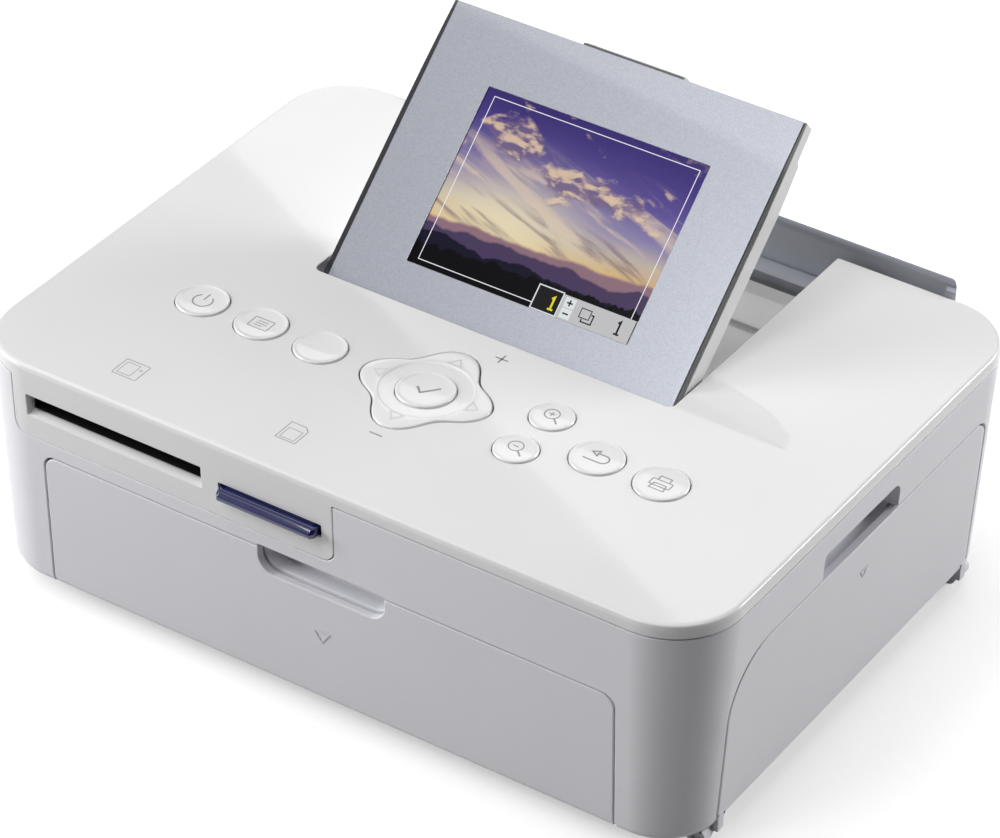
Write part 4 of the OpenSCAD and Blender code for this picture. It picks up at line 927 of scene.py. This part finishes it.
def pale_boxes(form, z):
    form.plate(rectangle(STRIP_X, 0.04, STRIP_X + 6.3, 5.6), z - LAYER, z)
    for y in (0.35, 2.75):
        form.plate(rectangle(STRIP_X + 7.0, y, STRIP_X + 9.5, y + 2.2), z - LAYER, z)


def black_box(form, z):
    form.plate(rectangle(STRIP_X + 0.3, 0.28, STRIP_X + 6.06, 5.34), z - LAYER, z)


def dark_marks(form, z):
    x = STRIP_X + 8.25
    for path in ([(x - 0.7, 3.85), (x + 0.7, 3.85)], [(x, 3.15), (x, 4.55)],
                 [(x - 0.7, 1.45), (x + 0.7, 1.45)]):
        form.stroke(path, 0.34, z, depth=LAYER)
    x = STRIP_X + 11.3
    form.stroke(rectangle(x, 1.9, x + 2.4, 3.9), 0.2, z, True, LAYER)
    form.stroke([(x + 0.8, 1.7), (x + 0.8, 1.1), (x + 3.2, 1.1), (x + 3.2, 3.1), (x + 2.6, 3.1)],
                0.3, z, depth=LAYER)
    numeral(form, STRIP_X + 20.7, 1.2, 2.8, z)
    form.stroke([(WIDE - 0.28, 0.1), (WIDE - 0.28, 5.2)], 0.22, z, depth=LAYER)


on_screen("screen_frame_line", srgb(246, 244, 250), frame_line, 0.015, BRIGHT)
on_screen("screen_strip", srgb(206, 206, 208), strip, 0.02)
on_screen("screen_pale_boxes", srgb(226, 232, 234), pale_boxes, 0.035, BRIGHT)
on_screen("screen_black_box", srgb(22, 22, 24), black_box, 0.05)
on_screen("screen_dark_marks", srgb(26, 26, 32), dark_marks, 0.05)
on_screen("screen_yellow_numeral", srgb(238, 222, 46), yellow_numeral, 0.065, BRIGHT)

# ---- room, light and camera --------------------------------------------------------------------

FOCAL_PX = 4601.7
PHOTO_W = 1000
CAMERA_AT = Vector((424.52, -659.39, 599.58)) * MM
CAMERA_AZIMUTH = 32.769
CAMERA_ELEVATION = 35.618
CAMERA_ROLL = 1.219


def view_axes(azimuth, elevation, roll):
    """Right, up and backward axes of a camera that looks down at the object."""
    a, e, r = (math.radians(angle) for angle in (azimuth, elevation, roll))
    back = Vector((math.sin(a) * math.cos(e), -math.cos(a) * math.cos(e), math.sin(e)))
    right = Vector((math.cos(a), math.sin(a), 0))
    up = back.cross(right)
    return right * math.cos(r) + up * math.sin(r), up * math.cos(r) - right * math.sin(r), back


def make_camera():
    lens = bpy.data.cameras.new("camera")
    lens.sensor_width = 36
    lens.lens = FOCAL_PX / PHOTO_W * lens.sensor_width
    lens.clip_start = 0.05
    lens.clip_end = 20
    camera = bpy.data.objects.new("camera", lens)
    bpy.context.scene.collection.objects.link(camera)
    right, up, back = view_axes(CAMERA_AZIMUTH, CAMERA_ELEVATION, CAMERA_ROLL)
    camera.matrix_world = Matrix((
        (right.x, up.x, back.x, CAMERA_AT.x),
        (right.y, up.y, back.y, CAMERA_AT.y),
        (right.z, up.z, back.z, CAMERA_AT.z),
        (0, 0, 0, 1),
    ))
    bpy.context.scene.camera = camera


FLOOR_SEEN = 0.8         # grey of the floor where the camera or a reflection sees it
FLOOR_GLOW = 0.42        # what is added there to make it white
FLOOR_BOUNCE = 0.3       # grey of the floor as a source of light


def floor():
    """Plain pale floor: white to the camera and in reflections, dimmer as a source of light."""
    bm = bmesh.new()
    bmesh.ops.create_grid(bm, x_segments=1, y_segments=1, size=6)
    mesh = bpy.data.meshes.new("floor")
    bm.to_mesh(mesh)
    bm.free()
    made = bpy.data.materials.new("floor_white")
    made.use_nodes = True
    tree = made.node_tree
    tree.nodes.clear()
    seen = add_node(made, "ShaderNodeBsdfDiffuse")
    seen.inputs["Color"].default_value = (*[FLOOR_SEEN] * 3, 1)
    glow = add_node(made, "ShaderNodeEmission")
    glow.inputs["Strength"].default_value = FLOOR_GLOW
    both = add_node(made, "ShaderNodeAddShader")
    unseen = add_node(made, "ShaderNodeBsdfDiffuse")
    unseen.inputs["Color"].default_value = (*[FLOOR_BOUNCE] * 3, 1)
    rays = add_node(made, "ShaderNodeLightPath")
    some = add_node(made, "ShaderNodeMath", operation="ADD")
    any_ray = add_node(made, "ShaderNodeMath", operation="ADD", use_clamp=True)
    mix = add_node(made, "ShaderNodeMixShader")
    out = add_node(made, "ShaderNodeOutputMaterial")
    for start, end in (
        (rays.outputs["Is Camera Ray"], some.inputs[0]),
        (rays.outputs["Is Glossy Ray"], some.inputs[1]),
        (some.outputs[0], any_ray.inputs[0]), (rays.outputs["Is Transmission Ray"], any_ray.inputs[1]),
        (seen.outputs[0], both.inputs[0]), (glow.outputs[0], both.inputs[1]),
        (any_ray.outputs[0], mix.inputs["Fac"]), (unseen.outputs[0], mix.inputs[1]),
        (both.outputs[0], mix.inputs[2]), (mix.outputs[0], out.inputs["Surface"]),
    ):
        tree.links.new(start, end)
    mesh.materials.append(made)
    piece = bpy.data.objects.new("floor", mesh)
    bpy.context.scene.collection.objects.link(piece)


AIM = (0, 0, 0.03)       # where a tilted soft box looks


def soft_box(name, place, size, power, turn=None):
    """A soft box that looks at the object, or straight down with a turn about the vertical."""
    light = bpy.data.lights.new(name, "AREA")
    light.shape = "RECTANGLE"
    light.size, light.size_y = size
    light.energy = power
    piece = bpy.data.objects.new(name, light)
    bpy.context.scene.collection.objects.link(piece)
    piece.location = place
    if turn is None:
        piece.rotation_euler = (Vector(AIM) - Vector(place)).to_track_quat("-Z", "Y").to_euler()
    else:
        piece.rotation_euler = (0, 0, math.radians(turn))


def world(strength):
    """Even surroundings: white behind the object, faint as a source of light."""
    sky = bpy.data.worlds.new("studio")
    sky.use_nodes = True
    tree = sky.node_tree
    faint = tree.nodes["Background"]
    faint.inputs["Color"].default_value = (1, 1, 1, 1)
    faint.inputs["Strength"].default_value = strength
    white = tree.nodes.new("ShaderNodeBackground")
    white.inputs["Color"].default_value = (1, 1, 1, 1)
    rays = tree.nodes.new("ShaderNodeLightPath")
    mix = tree.nodes.new("ShaderNodeMixShader")
    tree.links.new(rays.outputs["Is Camera Ray"], mix.inputs["Fac"])
    tree.links.new(faint.outputs[0], mix.inputs[1])
    tree.links.new(white.outputs[0], mix.inputs[2])
    tree.links.new(mix.outputs[0], tree.nodes["World Output"].inputs["Surface"])
    bpy.context.scene.world = sky


make_camera()
floor()
world(strength=0.02)
soft_box("rear_box", (-0.708, 1.795, 1.2), (1.8, 1.0), power=10.2, turn=-27.4)
soft_box("overhead_box", (-0.45, -0.05, 1.2), (1.5, 1.1), power=9.0, turn=-7.6)
soft_box("left_box", (-0.70, -0.42, 0.31), (0.46, 0.38), power=5.1)
soft_box("right_rear_box", (0.66, 0.80, 0.34), (0.5, 0.4), power=8.6)
soft_box("front_box", (-0.36, -0.92, 1.2), (0.4, 0.5), power=5.6, turn=-7.6)

bpy.context.scene.view_settings.view_transform = "Standard"
